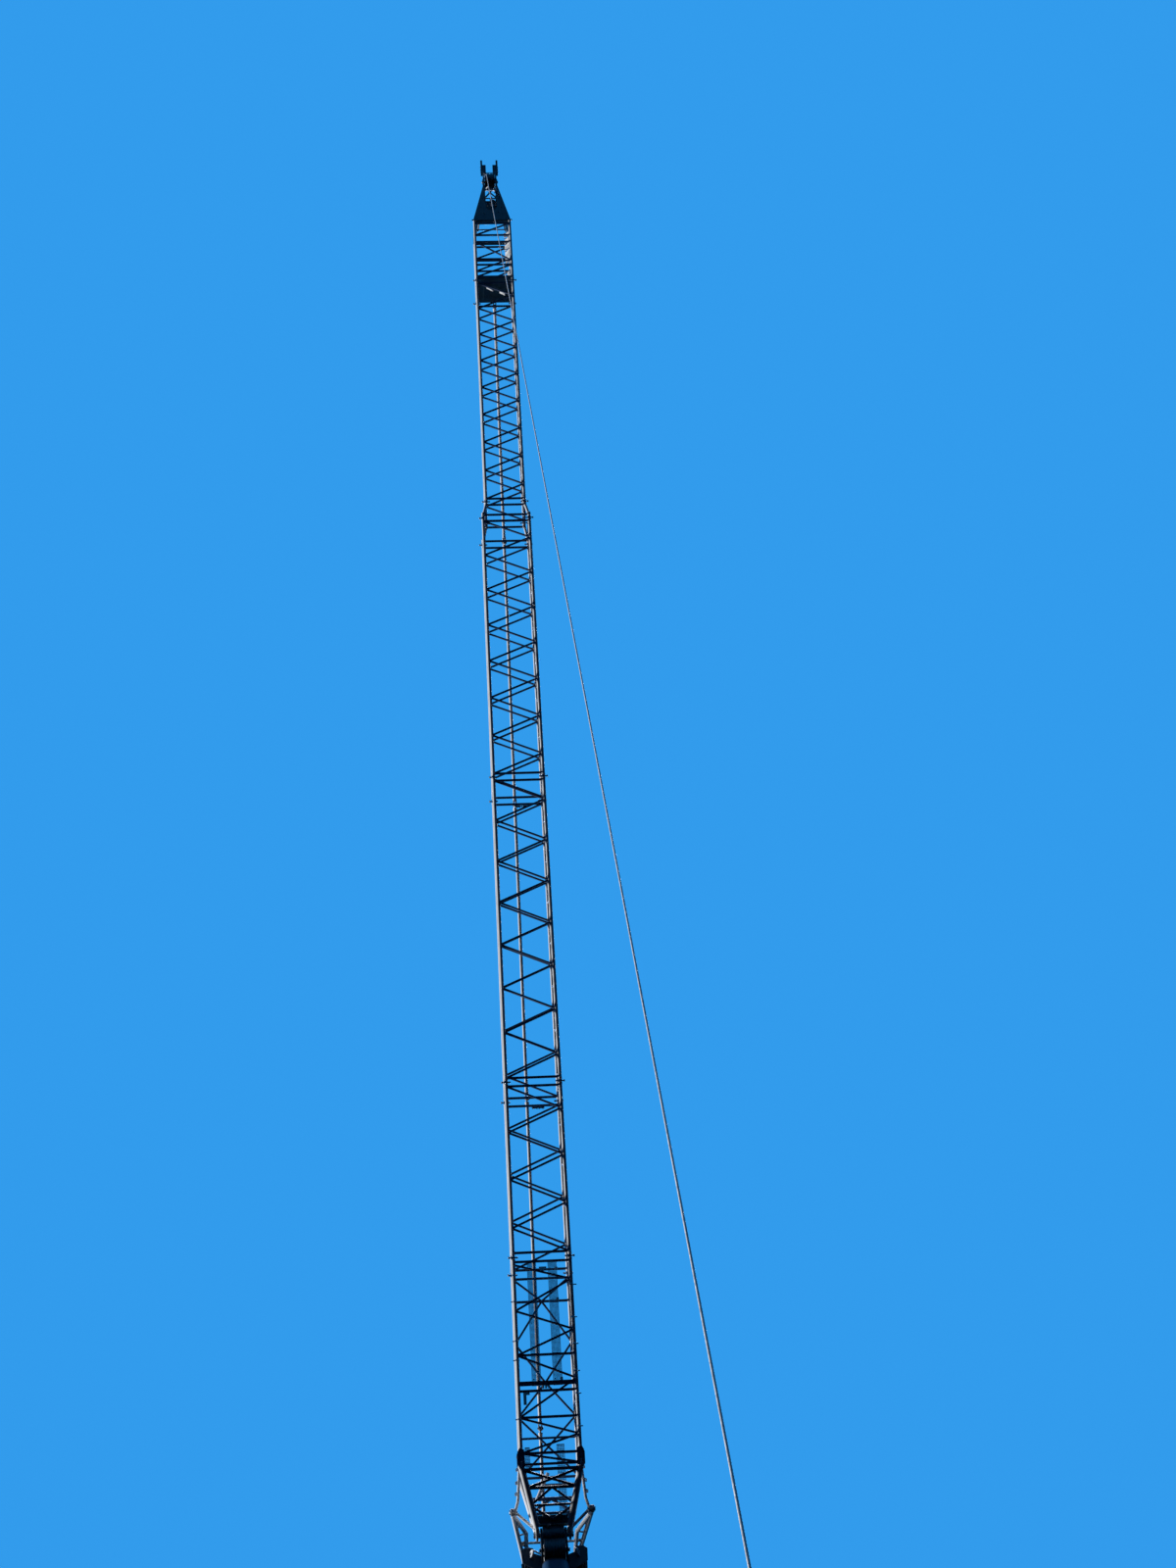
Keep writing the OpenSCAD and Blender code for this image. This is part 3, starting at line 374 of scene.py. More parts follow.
class Nodes:
    """Short names for building a node material."""

    def __init__(self, name):
        self.material = bpy.data.materials.new(name)
        self.material.use_nodes = True
        self.tree = self.material.node_tree
        self.shader = self.tree.nodes["Principled BSDF"]
        self.place = self.tree.nodes.new("ShaderNodeTexCoord").outputs["Object"]

    def node(self, kind, **values):
        made = self.tree.nodes.new(kind)
        for key, value in values.items():
            if hasattr(made, key):
                setattr(made, key, value)
            else:
                made.inputs[key.replace("_", " ")].default_value = value
        return made

    def link(self, a, b):
        self.tree.links.new(a, b)

    def noise(self, scale, detail=4.0, stretch=None):
        source = self.place
        if stretch:
            mapping = self.node("ShaderNodeMapping")
            mapping.inputs["Scale"].default_value = stretch
            self.link(source, mapping.inputs["Vector"])
            source = mapping.outputs["Vector"]
        made = self.node("ShaderNodeTexNoise", Scale=scale, Detail=detail)
        self.link(source, made.inputs["Vector"])
        return made.outputs["Fac"]

    def ramp(self, source, stops):
        made = self.node("ShaderNodeValToRGB")
        ramp = made.color_ramp
        ramp.elements[0].position, ramp.elements[0].color = stops[0][0], (*stops[0][1], 1)
        ramp.elements[1].position, ramp.elements[1].color = stops[-1][0], (*stops[-1][1], 1)
        for at, tone in stops[1:-1]:
            ramp.elements.new(at).color = (*tone, 1)
        self.link(source, made.inputs["Fac"])
        return made.outputs["Color"]

    def mix(self, factor, a, b):
        made = self.node("ShaderNodeMix", data_type="RGBA")
        for socket, value in ((made.inputs["Factor"], factor), (made.inputs[6], a), (made.inputs[7], b)):
            if hasattr(value, "is_output"):
                self.link(value, socket)
            else:
                socket.default_value = (*value, 1) if hasattr(value, "__len__") else value
        return made.outputs[2]

    def span(self, source, low, high, start=0.35, end=0.65):
        made = self.node("ShaderNodeMapRange")
        for key, value in (("From Min", start), ("From Max", end), ("To Min", low), ("To Max", high)):
            made.inputs[key].default_value = value
        self.link(source, made.inputs["Value"])
        return made.outputs["Result"]

    def bump(self, source, strength, distance=0.0003):
        made = self.node("ShaderNodeBump", Strength=strength, Distance=distance)
        self.link(source, made.inputs["Height"])
        self.link(made.outputs["Normal"], self.shader.inputs["Normal"])

    def to(self, source, key):
        self.link(source, self.shader.inputs[key])

    def level(self, key, value):
        self.shader.inputs[key].default_value = value


def shade(tone, share):
    return tuple(min(1.0, c * share) for c in tone)


def paint(name, tone, rough, dirt, chips, gloss):
    """Sprayed paint: slow drifts of tone, grime in streaks, fine orange peel and a few chips."""
    n = Nodes(name)
    n.level("Specular IOR Level", gloss)
    drift = n.noise(9.0, 3.0)
    fade = n.ramp(drift, [(0.30, shade(tone, 0.90)), (0.55, tone), (0.75, shade(tone, 1.07))])
    grime = n.noise(55.0, 6.0, (1.0, 1.0, 0.22))
    grime_share = n.span(grime, 0.0, dirt, 0.48, 0.78)
    base = n.mix(grime_share, fade, shade(tone, 0.42))
    spots = n.noise(320.0, 3.0)
    base = n.mix(n.span(spots, 0.0, chips, 0.66, 0.70), base, (0.09, 0.08, 0.075))
    n.to(base, "Base Color")
    n.to(n.span(n.noise(80.0, 4.0), rough - 0.08, rough + 0.12), "Roughness")
    n.bump(n.noise(900.0, 2.0), 0.18)
    return n.material


def metal(name, tone, rough, brushed, metallic):
    """Bare or plated steel with fine brushing and dull patches."""
    n = Nodes(name)
    patch = n.noise(40.0, 5.0)
    base = n.ramp(patch, [(0.30, shade(tone, 0.62)), (0.55, tone), (0.75, shade(tone, 1.25))])
    n.to(base, "Base Color")
    n.level("Metallic", metallic)
    n.to(n.span(n.noise(220.0, 4.0, brushed), rough - 0.10, rough + 0.18), "Roughness")
    n.bump(n.noise(600.0, 3.0, brushed), 0.25)
    return n.material


def iron(name, tone):
    """Cast iron with a sandy skin, dull oil film and a little rust."""
    n = Nodes(name)
    film = n.noise(60.0, 5.0)
    base = n.ramp(film, [(0.30, shade(tone, 0.6)), (0.55, tone), (0.80, shade(tone, 1.5))])
    rust = n.span(n.noise(130.0, 6.0), 0.0, 0.35, 0.60, 0.72)
    n.to(n.mix(rust, base, (0.11, 0.055, 0.030)), "Base Color")
    n.level("Metallic", 0.35)
    n.to(n.span(film, 0.38, 0.62), "Roughness")
    n.bump(n.noise(700.0, 4.0), 0.4)
    return n.material


def wire(name, tone):
    """Greased steel wire, its tone and roughness drifting in grease patches."""
    n = Nodes(name)
    grease = n.noise(240.0, 4.0)
    n.to(n.ramp(grease, [(0.30, shade(tone, 0.65)), (0.60, tone), (0.80, shade(tone, 1.15))]), "Base Color")
    n.level("Metallic", 0.1)
    n.to(n.span(grease, 0.34, 0.58), "Roughness")
    n.bump(n.noise(2400.0, 2.0), 0.35)
    return n.material


# Name, colour's name, roughness, dirt, chips and gloss of each sprayed finish.
PAINTS = {
    "lattice_paint": ("lattice paint", "lattice", 0.40, 0.22, 0.25, 0.15),
    # The lacing finish is painted shade: the lattice's pale paint made dark navy.
    "lacing": ("lacing paint", "lacing", 0.42, 0.35, 0.4, 0.12),
    "dark_plate": ("dark plate paint", "plate", 0.38, 0.5, 0.4, 0.2),
    "boom_paint": ("boom paint", "boom", 0.38, 0.5, 0.3, 0.25),
    "head_black": ("boom head paint", "black", 0.46, 0.4, 0.3, 0.15),
    "pendant_paint": ("pendant paint", "pendant", 0.40, 0.22, 0.25, 0.15),
    "weight_paint": ("weight paint", "weight", 0.40, 0.5, 0.7, 0.5),
    "hook_paint": ("hook paint", "hook", 0.42, 0.6, 0.9, 0.5),
}
FINISH = {}


def finishes():
    """Makes each finish once and returns them by slot, with the lacing's paint as one more."""
    if not FINISH:
        f = bpy.context.scene.jib_finishes
        for slot, (name, tone, *looks) in PAINTS.items():
            FINISH[slot] = paint(name, tuple(getattr(f, tone)), *looks)
        FINISH["pin_steel"] = metal("pin steel", tuple(f.steel), 0.38, (1.0, 1.0, 8.0), 0.85)
        FINISH["grating"] = metal("grating metal", tuple(f.grating), 0.45, (1.0, 1.0, 3.0), 0.6)
        FINISH["sheave_iron"] = iron("sheave iron", tuple(f.iron))
        FINISH["rope_steel"] = wire("rope wire", tuple(f.rope))
    return FINISH


# ---------------------------------------------------------------- the jib's own frame


def sizes():
    return bpy.context.scene.jib_sizes


def jib_place():
    """The jib's frame: +Z along the jib, -Y its underside, its origin in the foot pin."""
    s = sizes()
    return Matrix.Translation((0, -s.pivot_y, s.pivot_z)) @ Matrix.Rotation(pi / 2 - s.slope, 4, "X")


def on_jib():
    """An empty shape in the jib's frame."""
    return Shape(jib_place())


def stations():
    """Distances of the section joints from the foot pin."""
    s = sizes()
    z = [0.0]
    for part in (s.butt, s.section_1, s.section_2, s.section_3, s.reducer, s.section_4,
                 s.head_section, s.head):
        z.append(z[-1] + part)
    return z


LUG_T, EYE_T, LUG_W, LUG_CLEAR, PIN_D = 3 * MM, 5 * MM, 11 * MM, 0.2 * MM, 5 * MM
LUG_L = LUG_W / 2 + 2 * MM
FORK_X = EYE_T / 2 + LUG_CLEAR + LUG_T / 2
PIN_BORE, WELD_T = PIN_D + LUG_CLEAR, 1.2 * MM
BULKHEAD_UP, BULKHEAD_T = LUG_L + 3.5 * MM, 4 * MM
COLLAR_L, GUSSET, GUSSET_T = 16 * MM, 11 * MM, 1.2 * MM
SIDES = ((-1, "left_side"), (1, "right_side"))
LEVELS = ((-1, "underside"), (1, "top"))


def fork(shape, x, y, z, d):
    """A fork on the upper end of a chord: a turned collar and two drilled plates."""
    shape.turned((x, y, z), Z, [(-LUG_L - COLLAR_L, d / 2), (-LUG_L - 5 * MM, d / 2 + 0.2 * MM),
                                (-LUG_L - 3 * MM, d / 2 + MM), (-LUG_L, d / 2 + MM)], CHORD_SIDES)
    shape.bead((x, y, z - LUG_L - COLLAR_L), Z, d, WELD_T, 16)
    for side in BOTH:
        shape.plate(lug_outline(LUG_W, LUG_L + 0.5 * MM), LUG_T, (x + side * FORK_X, y, z), Y, Z,
                    [circle(PIN_BORE)])


def eye(shape, x, y, z, d):
    """An eye on the lower end of a chord."""
    shape.turned((x, y, z), Z, [(LUG_L, d / 2 + MM), (LUG_L + 3 * MM, d / 2 + MM),
                                (LUG_L + 5 * MM, d / 2 + 0.2 * MM), (LUG_L + COLLAR_L, d / 2)], CHORD_SIDES)
    shape.bead((x, y, z + LUG_L + COLLAR_L), Z, d, WELD_T, 16)
    shape.plate(lug_outline(LUG_W, LUG_L + 0.5 * MM), EYE_T, (x, y, z), Y, DOWN,
                [circle(PIN_BORE)])


def chord(shape, x, y, low, high, d, has_eye=True, has_fork=True):
    """A chord tube with its end fittings."""
    a = low + LUG_L + 3 * MM if has_eye else low
    b = high - LUG_L - 3 * MM if has_fork else high
    shape.tube((x, y, a), (x, y, b), d, CHORD_SIDES)
    if has_eye:
        eye(shape, x, y, low, d)
    if has_fork:
        fork(shape, x, y, high, d)


def face_out(face):
    """The direction square to a face."""
    return X if face[0] else Y


def face_point(face, end, z):
    """A point on a chord's line. A face is (1 for a side, else 0; its offset; its half width)."""
    kind, offset, half = face
    return (end * half, offset, z) if kind == 0 else (offset, end * half, z)


def zigzag(shape, face, low, high, halves, first, d, chord_d):
    """Lacing tubes from chord to chord, which begin at one end or the other of the face."""
    step = (high - low) / halves
    lean = ((2 * face[2]) ** 2 + step ** 2) ** 0.5
    reach = chord_d / 2 * lean / (2 * face[2])
    for i in range(halves):
        start = first if i % 2 == 0 else -first
        shape.bar(face_point(face, start, low + i * step),
                  face_point(face, -start, low + (i + 1) * step), d, face_out(face), reach)


def rungs(shape, face, heights, d, chord_d):
    """Straight tubes across a face."""
    for z in heights:
        shape.bar(face_point(face, -1, z), face_point(face, 1, z), d, face_out(face), chord_d / 2)


def braced(shape, face, ends, halves, first, chord_d):
    """Lacing between two end frames."""
    s = sizes()
    zigzag(shape, face, *ends, halves, first, s.lacing, chord_d)
    rungs(shape, face, ends, s.end_frame, chord_d)


def gussets(shape, face, places):
    """Small plates in the corners of a face, at each (height, way along the chord)."""
    for end in BOTH:
        for z, way in places:
            corner = [(0, 0), (-end * GUSSET, 0), (0, way * GUSSET)]
            if end * way < 0:
                corner[1:] = corner[:0:-1]
            shape.plate(corner, GUSSET_T, face_point(face, end, z), Y if face[0] else X, Z)


def lattice(shape, name):
    """Makes a shape the piece that shows a node of the lattice."""
    make(shape, f"{name}_tubes", "lattice_paint", [name])


def section(name, low, high, w, h, d, halves_side, halves_face, first):
    """A lattice section: two sides with chords, an underside and a top, each its own piece."""
    gap = sizes().frame_gap
    ends = (low + gap, high - gap)
    flats = [(word, (1, side * w / 2, h / 2), halves_side, -1) for side, word in SIDES]
    flats += [(word, (0, level * h / 2, w / 2), halves_face, first * -level) for level, word in LEVELS]
    for word, face, halves, start in flats:
        shape = on_jib()
        if face[0] == 1:
            for level in BOTH:
                chord(shape, face[1], level * h / 2, low, high, d)
        braced(shape, face, ends, halves, start, d)
        gussets(shape, face, ((ends[0], 1), (ends[1], -1)))
        lattice(shape, f"{name}_{word}")


class JIB_OT_sections(Operator):
    """Builds the three main lattice sections from round tubes, with their forks, eyes and welds"""

    bl_idname = "jib.sections"
    bl_label = "Main sections"

    def execute(self, context):
        s, z = sizes(), stations()
        size = (s.main_w, s.main_h, s.main_chord)
        section("section_1", z[1], z[2], *size, 8, 7, 1)
        section("section_2", z[2], z[3], *size, 2 * s.long_bays, 2 * s.long_bays, -1)
        section("section_3", z[3], z[4], *size, 2 * s.long_bays, 2 * s.long_bays, -1)
        return {"FINISHED"}


# End frames of the section under the head, as shares of its length: underside, then top.
HEAD_RUNGS = ((0, 0.22, 0.295, 0.65, 0.775, 1), (0, 0.27, 0.54, 0.77, 1))
DOUBLE_RUNG = 0.15


class JIB_OT_slim_sections(Operator):
    """Builds the reducer, the slim section and the short lattice under the head"""

    bl_idname = "jib.slim_sections"
    bl_label = "Slim sections"

    def execute(self, context):
        s, z = sizes(), stations()
        x, y, d, gap = s.slim_w / 2, s.slim_h / 2, s.slim_chord, s.frame_gap
        self.reducer(s, z)
        whole = (z[5] + gap, z[6] - gap)
        low, high = z[6] + BULKHEAD_UP + BULKHEAD_T + s.end_frame, z[7] - gap
        for side, word in SIDES:
            face = (1, side * x, y)
            for name, a, b, halves, ends in (("section_4", 5, 6, 2 * s.slim_bays, whole),
                                             ("head_section", 6, 7, 4, (low, high))):
                shape = on_jib()
                for level in BOTH:
                    chord(shape, side * x, level * y, z[a], z[b], d, True, b < 7)
                braced(shape, face, ends, halves, -1, d)
                lattice(shape, f"{name}_{word}")
        for (level, word), parts in zip(LEVELS, HEAD_RUNGS):
            face = (0, level * y, x)
            shape = on_jib()
            braced(shape, face, whole, 2 * s.slim_bays, level, d)
            lattice(shape, f"section_4_{word}")
            shape = on_jib()
            at = [low + part * (high - low) for part in parts]
            rungs(shape, face, at, s.end_frame, d)
            for i, (a, b) in enumerate(zip(parts, parts[1:])):
                if b - a > DOUBLE_RUNG:
                    zigzag(shape, face, at[i], at[i + 1], 1, level if i % 4 == 0 else -level, s.lacing, d)
            lattice(shape, f"head_section_{word}")
        return {"FINISHED"}

    def reducer(self, s, z):
        """Four chords that run together, with an end frame near each end."""
        shape = on_jib()
        low, high = z[4] + LUG_L + 3 * MM, z[5] - LUG_L - 3 * MM
        for side in BOTH:
            for level in BOTH:
                a = (side * s.main_w / 2, level * s.main_h / 2)
                b = (side * s.slim_w / 2, level * s.slim_h / 2)
                shape.tube((*a, low), (*b, high), s.slim_chord, CHORD_SIDES)
                eye(shape, *a, z[4], s.main_chord)
                fork(shape, *b, z[5], s.slim_chord)
        for z_at in (low + s.end_frame, high - s.end_frame):
            part = (z_at - low) / (high - low)
            x = (s.main_w + (s.slim_w - s.main_w) * part) / 2
            y = (s.main_h + (s.slim_h - s.main_h) * part) / 2
            for k in BOTH:
                shape.bar((-x, k * y, z_at), (x, k * y, z_at), s.end_frame, Y, s.slim_chord / 2)
                shape.bar((k * x, -y, z_at), (k * x, y, z_at), s.end_frame, X, s.slim_chord / 2)
        lattice(shape, "reducer")


# ---------------------------------------------------------------- butt section


# Heights are measured along the jib from its foot pin. UNDERSIDE and TOP are shares of a stretch.
TAPER_Z, FOOT_W, FOOT_LUG_T, FOOT_LUG_D, LEG_D = 0.176, 0.100, 0.008, 0.034, 0.019
BEAM_Z, BEAM_H, BEAM_DROP = 0.436, 0.013, 0.023
FOOT_EYE_W, FOOT_EYE_D, FOOT_PIN_D = 0.010, 0.022, 0.009
A_FOOT_W, A_FOOT_Z, BOSS_W, BRACKET_D = 0.244, 0.072, 0.007, 0.009
PIVOT_D = 0.016
PIVOT_BORE, FOOT_BORE = PIVOT_D + 0.4 * MM, FOOT_PIN_D + LUG_CLEAR
UNDERSIDE_UPPER = (0.94, 0.81, 0.57, 0.41, 0.22, 0.03)
UNDERSIDE_LOWER = (0.6, 0.39, 0.185, 0.06)
TOP_PARTS = (1, 0.88, 0.664, 0.464, 0.295)
TOP_EXTRA_RUNGS = (0.312, 0.266)
# Upper and lower height of the leg braces and height of the knee bar, by level.
BRACES, BRACE_FOOT = {-1: (0.127, 0.080, 0.176), 1: (0.120, 0.073, 0.167)}, 0.040
LEG_STRUT = ((-0.046, 0.020, 0.108), (-0.0077, 0.020, 0.1885))
FOOT_BOX_Z = 0.042
STUDS = ((0.781, 0.696, 0.570, 0.510, 0.3275, 0.222), (0.745, 0.640, 0.555, 0.470, 0.400, 0.300))
KNEE_X, KNEE_Z, ARM_TOP = 0.013, 0.104, 0.262
KNEE_PLATE = ((-0.012, 0.184), (0.006, 0.178), (0.011, 0.192),
              (0.011, 0.228), (0.004, 0.240), (-0.010, 0.234))
KNEE_BOLTS = ((-0.008, 0.186), (-0.008, 0.226), (0.007, 0.196), (0.007, 0.228))
SMALL_LUG = ((-0.006, -0.005), (0.0085, -0.005), (0.0085, 0.003), (0.004, 0.006), (-0.006, 0.006))


class JIB_OT_butt(Operator):
    """Builds the butt section: thick legs, K bracing, cross beams and the A-frame's brackets"""

    bl_idname = "jib.butt"
    bl_label = "Butt section"

    def execute(self, context):
        s, z = sizes(), stations()
        w, h, d = s.main_w, s.main_h, s.main_chord
        top, low = z[1] - s.frame_gap, TAPER_Z + s.frame_gap
        for side, word in SIDES:
            shape = on_jib()
            self.side(shape, side, s, z[1], low, top)
            lattice(shape, f"butt_{word}")
        at = [BEAM_Z + part * (z[1] - BEAM_Z) for part in UNDERSIDE_UPPER]
        at += [TAPER_Z + part * (BEAM_Z - TAPER_Z) for part in UNDERSIDE_LOWER]
        face = (0, -h / 2, w / 2)
        shape = on_jib()
        self.bars(shape, face, [(-1 if i % 2 == 0 else 1, q) for i, q in enumerate(at)], s.lacing, d)
        rungs(shape, face, (low, at[8], at[6], at[4], top), s.end_frame, d)
        self.leg_braces(shape, s, -1)
        lattice(shape, "butt_underside")
        at = [low + part * (top - low) for part in TOP_PARTS]
        face = (0, h / 2, w / 2)
        shape = on_jib()
        for k in BOTH:
            nodes = [(k, at[0]), (0, at[1]), (k, at[2]), (0, at[3]), (k, at[4]), (-k, low)]
            self.bars(shape, face, nodes, s.lacing, d)
        rungs(shape, face, (at[0], at[1], at[4], low), s.end_frame, d)
        rungs(shape, face, TOP_EXTRA_RUNGS, s.lacing, d)
        self.leg_braces(shape, s, 1)
        lattice(shape, "butt_top")
        self.beams(s)
        self.foot_box()
        self.fittings(s)
        return {"FINISHED"}

    def fittings(self, s):
        """Cable clips and studs on the chords, and small brackets under the beams and the gratings."""
        shape = on_jib()
        x, y, r = s.main_w / 2, -s.main_h / 2, s.main_chord / 2
        for side, places in zip(BOTH, STUDS):
            for k, at in enumerate(places):
                ring(shape, (side * x, y, at), Z, 2 * r, 2 * r + 2.4 * MM, 5 * MM, 20)
                long = 11 * MM if k == 0 else 7 * MM
                shape.turned((side * (x + r), y, at), (side, 0, 0),
                             [(0, 1.8 * MM), (long - MM, 1.8 * MM), (long, 1.3 * MM)], 12)
                shape.bolt((side * (x + r + 0.6 * long), y - 1.6 * MM, at), UNDER, 1.3 * MM)
        low = BEAM_Z - BEAM_DROP - s.end_frame / 2
        under = BEAM_Z - BEAM_H / 2 - 5 * MM
        blocks = [((-0.0660, y, low - 4 * MM), (20, 5, 8)), ((-0.0710, y, low - 0.022), (9.5, 6, 32)),
                  ((-0.0710, y - 4 * MM, low - 0.030), (6, 3, 8))]
        blocks += [((x_at, y + MM, under), (6.5, 6, 9)) for x_at in (-0.0135, -0.0045, 0.0045)]
        blocks += [((0.002, y - MM, 0.803), (24, 5, 6)), ((0, y - 3 * MM, 0.797), (9, 6, 12))]
        blocks += [((0.045, y + 2 * MM, at), (8, 8, 9)) for at in (0.800, 0.700, BEAM_Z + 0.012)]
        for at, size in blocks:
            shape.block(at, [edge * MM for edge in size])
        make(shape, "butt_fittings", "pin_steel", (), 0.3 * MM)

    def bars(self, shape, face, nodes, d, chord_d):
        """Lacing from node to node, each (place across, station)."""
        for a, b in zip(nodes, nodes[1:]):
            p, q = (Vector(face_point(face, *end)) for end in (a, b))
            reach = chord_d / 2 * (q - p).length / abs(q.x - p.x)
            shape.bar(p, q, d, face_out(face), reach if a[0] and b[0] else reach * 0.8)

    def leg_braces(self, shape, s, level):
        """Cross tubes and a diamond between the thick legs."""
        def leg(station):
            part = (TAPER_Z + LEG_D / 2 - station) / (TAPER_Z + LEG_D / 2)
            x = s.main_w / 2 + (FOOT_W / 2 - s.main_w / 2) * part
            return x, level * (s.main_h / 2 + (FOOT_LUG_D / 4 - s.main_h / 2) * part)

        upper, lower, knee_z = BRACES[level]
        out = (0, 1, -0.4 * level)
        for station, d in ((upper, 9 * MM), (lower, 7 * MM)):
            x, y = leg(station)
            shape.bar((-x, y, station), (x, y, station), d, out, LEG_D / 2)
        (x0, y0), (x1, y1), y2 = leg(upper), leg(lower), leg(BRACE_FOOT)[1]
        for k in BOTH:
            shape.bar((0, y0, upper), (k * x1, y1, lower), s.end_frame, out, 6 * MM)
            shape.bar((k * x1, y1, lower), (0, y2, BRACE_FOOT), s.end_frame, out, 6 * MM)
        knee_x, knee_y = s.main_w / 2, level * s.main_h / 2
        shape.bar((-knee_x, knee_y, knee_z), (knee_x, knee_y, knee_z), 8.5 * MM, Y, LEG_D / 2)
        if level < 0:
            for k in BOTH:
                shape.bar((k * knee_x, knee_y, knee_z), (-k * x0, y0, upper), 7.5 * MM, out, 0.010)
                self.knee_plate(shape, k, knee_x, knee_y)
            shape.welded(*LEG_STRUT, 11 * MM, 0.004, 16)

    def knee_plate(self, shape, side, x, y):
        """A bolted plate over the bend where a chord goes over into its thick leg, in the lacing's dark
        paint as painted shade.
        """
        # Painted shade: the plate, its block and its bolts take the lacing's dark paint.
        shape.coat = PAINTED_SHADE_COAT
        shape.plate(KNEE_PLATE, 3 * MM, (side * x, y - 0.008, 0), (side, 0, 0), Z)
        shape.block((side * (x + 0.006), y + 0.006, 0.206), (0.014, 0.022, 0.036))
        for p, q in KNEE_BOLTS:
            shape.bolt((side * (x + p), y - 0.0095, q), UNDER, 2 * MM)
        shape.coat = 0

    def foot_box(self):
        """The box that ties the two feet together over the pin, with stiffeners and a round lid; the box is
        in the dark plate paint as painted shade.
        """
        shape = on_jib()
        wide = FOOT_W - FOOT_LUG_T
        shape.block((0, 0, FOOT_BOX_Z), (wide, 0.034, 0.016))
        for k in BOTH:
            shape.block((0, k * 0.0185, FOOT_BOX_Z), (wide, 3 * MM, 0.026))
        for x in (-0.030, 0.0, 0.030):
            shape.block((x, -0.0215, FOOT_BOX_Z), (2.4 * MM, 5 * MM, 0.024))
            shape.bolt((x + 0.012, -0.020, 0.046), UNDER, 2 * MM)
        # Painted shade: the box takes the dark plate paint in place of the lattice's pale paint.
        make(shape, "jib_foot_box", "dark_plate", (), 0.4 * MM)
        lid = on_jib()
        lid.turned((-0.011, -0.024, 0.024), (-0.5, -1, 0),
                   [(0, 4 * MM), (5 * MM, 4 * MM), (6 * MM, 3 * MM)], 20)
        make(lid, "jib_foot_lid", "lattice_paint")

    def side(self, shape, side, s, end_z, low, top):
        """A side of the butt: chords, thick legs with their knees, lacing, foot lug and bracket."""
        h, d = s.main_h, s.main_chord
        x = side * s.main_w / 2
        foot = Vector((side * FOOT_W / 2, 0, 0))
        for level in BOTH:
            chord(shape, x, level * h / 2, TAPER_Z, end_z, d, False, True)
            knee = Vector((x, level * h / 2, TAPER_Z + LEG_D / 2))
            end = foot + Vector((0, -0.022, 0.020) if level < 0 else (0, FOOT_LUG_D / 4, 0.012))
            shape.tube(knee, end, LEG_D, 28)
            shape.turned(knee, Z, [(-0.012, 0.006), (-0.004, LEG_D / 2 + MM / 2),
                                   (0.014, LEG_D / 2 + MM / 2), (0.026, d / 2 + MM / 2)], 24)
            shape.bead(knee + Vector((0, 0, 0.026)), Z, d + 0.6 * MM, WELD_T, 16)
        face = (1, x, h / 2)
        zigzag(shape, face, low, top, 8, -1, s.lacing, d)
        rungs(shape, face, (low, BEAM_Z, top), s.end_frame, d)
        gussets(shape, face, ((top, -1),))
        self.foot_lug(shape, foot)
        self.bracket(shape, side, s)

    def foot_lug(self, shape, foot):
        """The thick eye that turns on the foot pin: a plate between the legs with a bossed bore."""
        outline = [(0.0165, 0.002), (0.034, 0.050), (-0.034, 0.050), (-0.0165, 0.002)]
        outline += circle(FOOT_LUG_D, (0, 0), 14, pi, pi)
        shape.plate(outline, FOOT_LUG_T * 0.7, foot, Y, Z, [circle(PIVOT_BORE)])
        ring(shape, foot, X, PIVOT_BORE, FOOT_LUG_D * 0.82, FOOT_LUG_T)

    def bracket(self, shape, side, s):
        """Bent tubes beside the butt that carry a foot of the A-frame, and lugs on their outer face."""
        w, h = s.main_w, s.main_h
        corner = Vector((side * (A_FOOT_W / 2 - FOOT_EYE_W / 2 - LUG_CLEAR - BOSS_W / 2), 0, A_FOOT_Z))
        knee = Vector((side * (w / 2 + KNEE_X), 0, KNEE_Z))
        for a, b, reach in (((side * w / 2, 0, ARM_TOP), knee, 0.004), (knee, corner, 0.006),
                            ((side * FOOT_W / 2, 0, 0.015), corner, 0.008)):
            shape.welded(a, b, BRACKET_D, reach, 16)
        shape.welded((side * w / 2, -h / 2, ARM_TOP), (side * w / 2, h / 2, ARM_TOP), s.end_frame,
                     s.main_chord / 2)
        ring(shape, corner, X, FOOT_BORE, FOOT_EYE_D, BOSS_W)
        for z_at in (0.125, 0.158, 0.198, 0.236):
            part = (z_at - KNEE_Z) / (ARM_TOP - KNEE_Z)
            x = side * (w / 2 + KNEE_X * (1 - part))
            shape.plate(SMALL_LUG, 3 * MM, (x + side * 0.002, 0, z_at), (side, 0, 0), Z,
                        [circle(2.4 * MM, (0.0048, 0), 10)])

    def beams(self, s):
        """The heavy and the light cross beam, as channels with end plates and bolts, in the lacing's dark
        paint as painted shade.
        """
        shape = on_jib()
        y = -s.main_h / 2
        x = s.main_w - s.main_chord * 0.9
        t = 1.4 * MM
        for at, deep in ((BEAM_Z, BEAM_H), (BEAM_Z - BEAM_DROP, s.end_frame)):
            shape.block((0, y - s.end_frame / 2 + t / 2, at), (x, t, deep))
            for k in BOTH:
                shape.block((0, y, at + k * (deep - t) / 2), (x, s.end_frame, t))
            for k in BOTH:
                shape.block((k * (x / 2 - t), y, at), (t, s.end_frame, deep))
        for k in range(-3, 4):
            shape.block((k * x / 7, y, BEAM_Z), (t, s.end_frame - 0.2 * MM, BEAM_H - 0.4 * MM))
        for k in BOTH:
            for q in BOTH:
                shape.bolt((k * (x / 2 - 0.008), y - s.end_frame / 2, BEAM_Z + q * 0.0035), UNDER, 1.6 * MM)
        # Painted shade: the beams take the lacing's dark paint instead of the lattice's pale paint.
        make(shape, "butt_beams_steel", "lattice_paint", ["butt_beams"], finish="lacing")


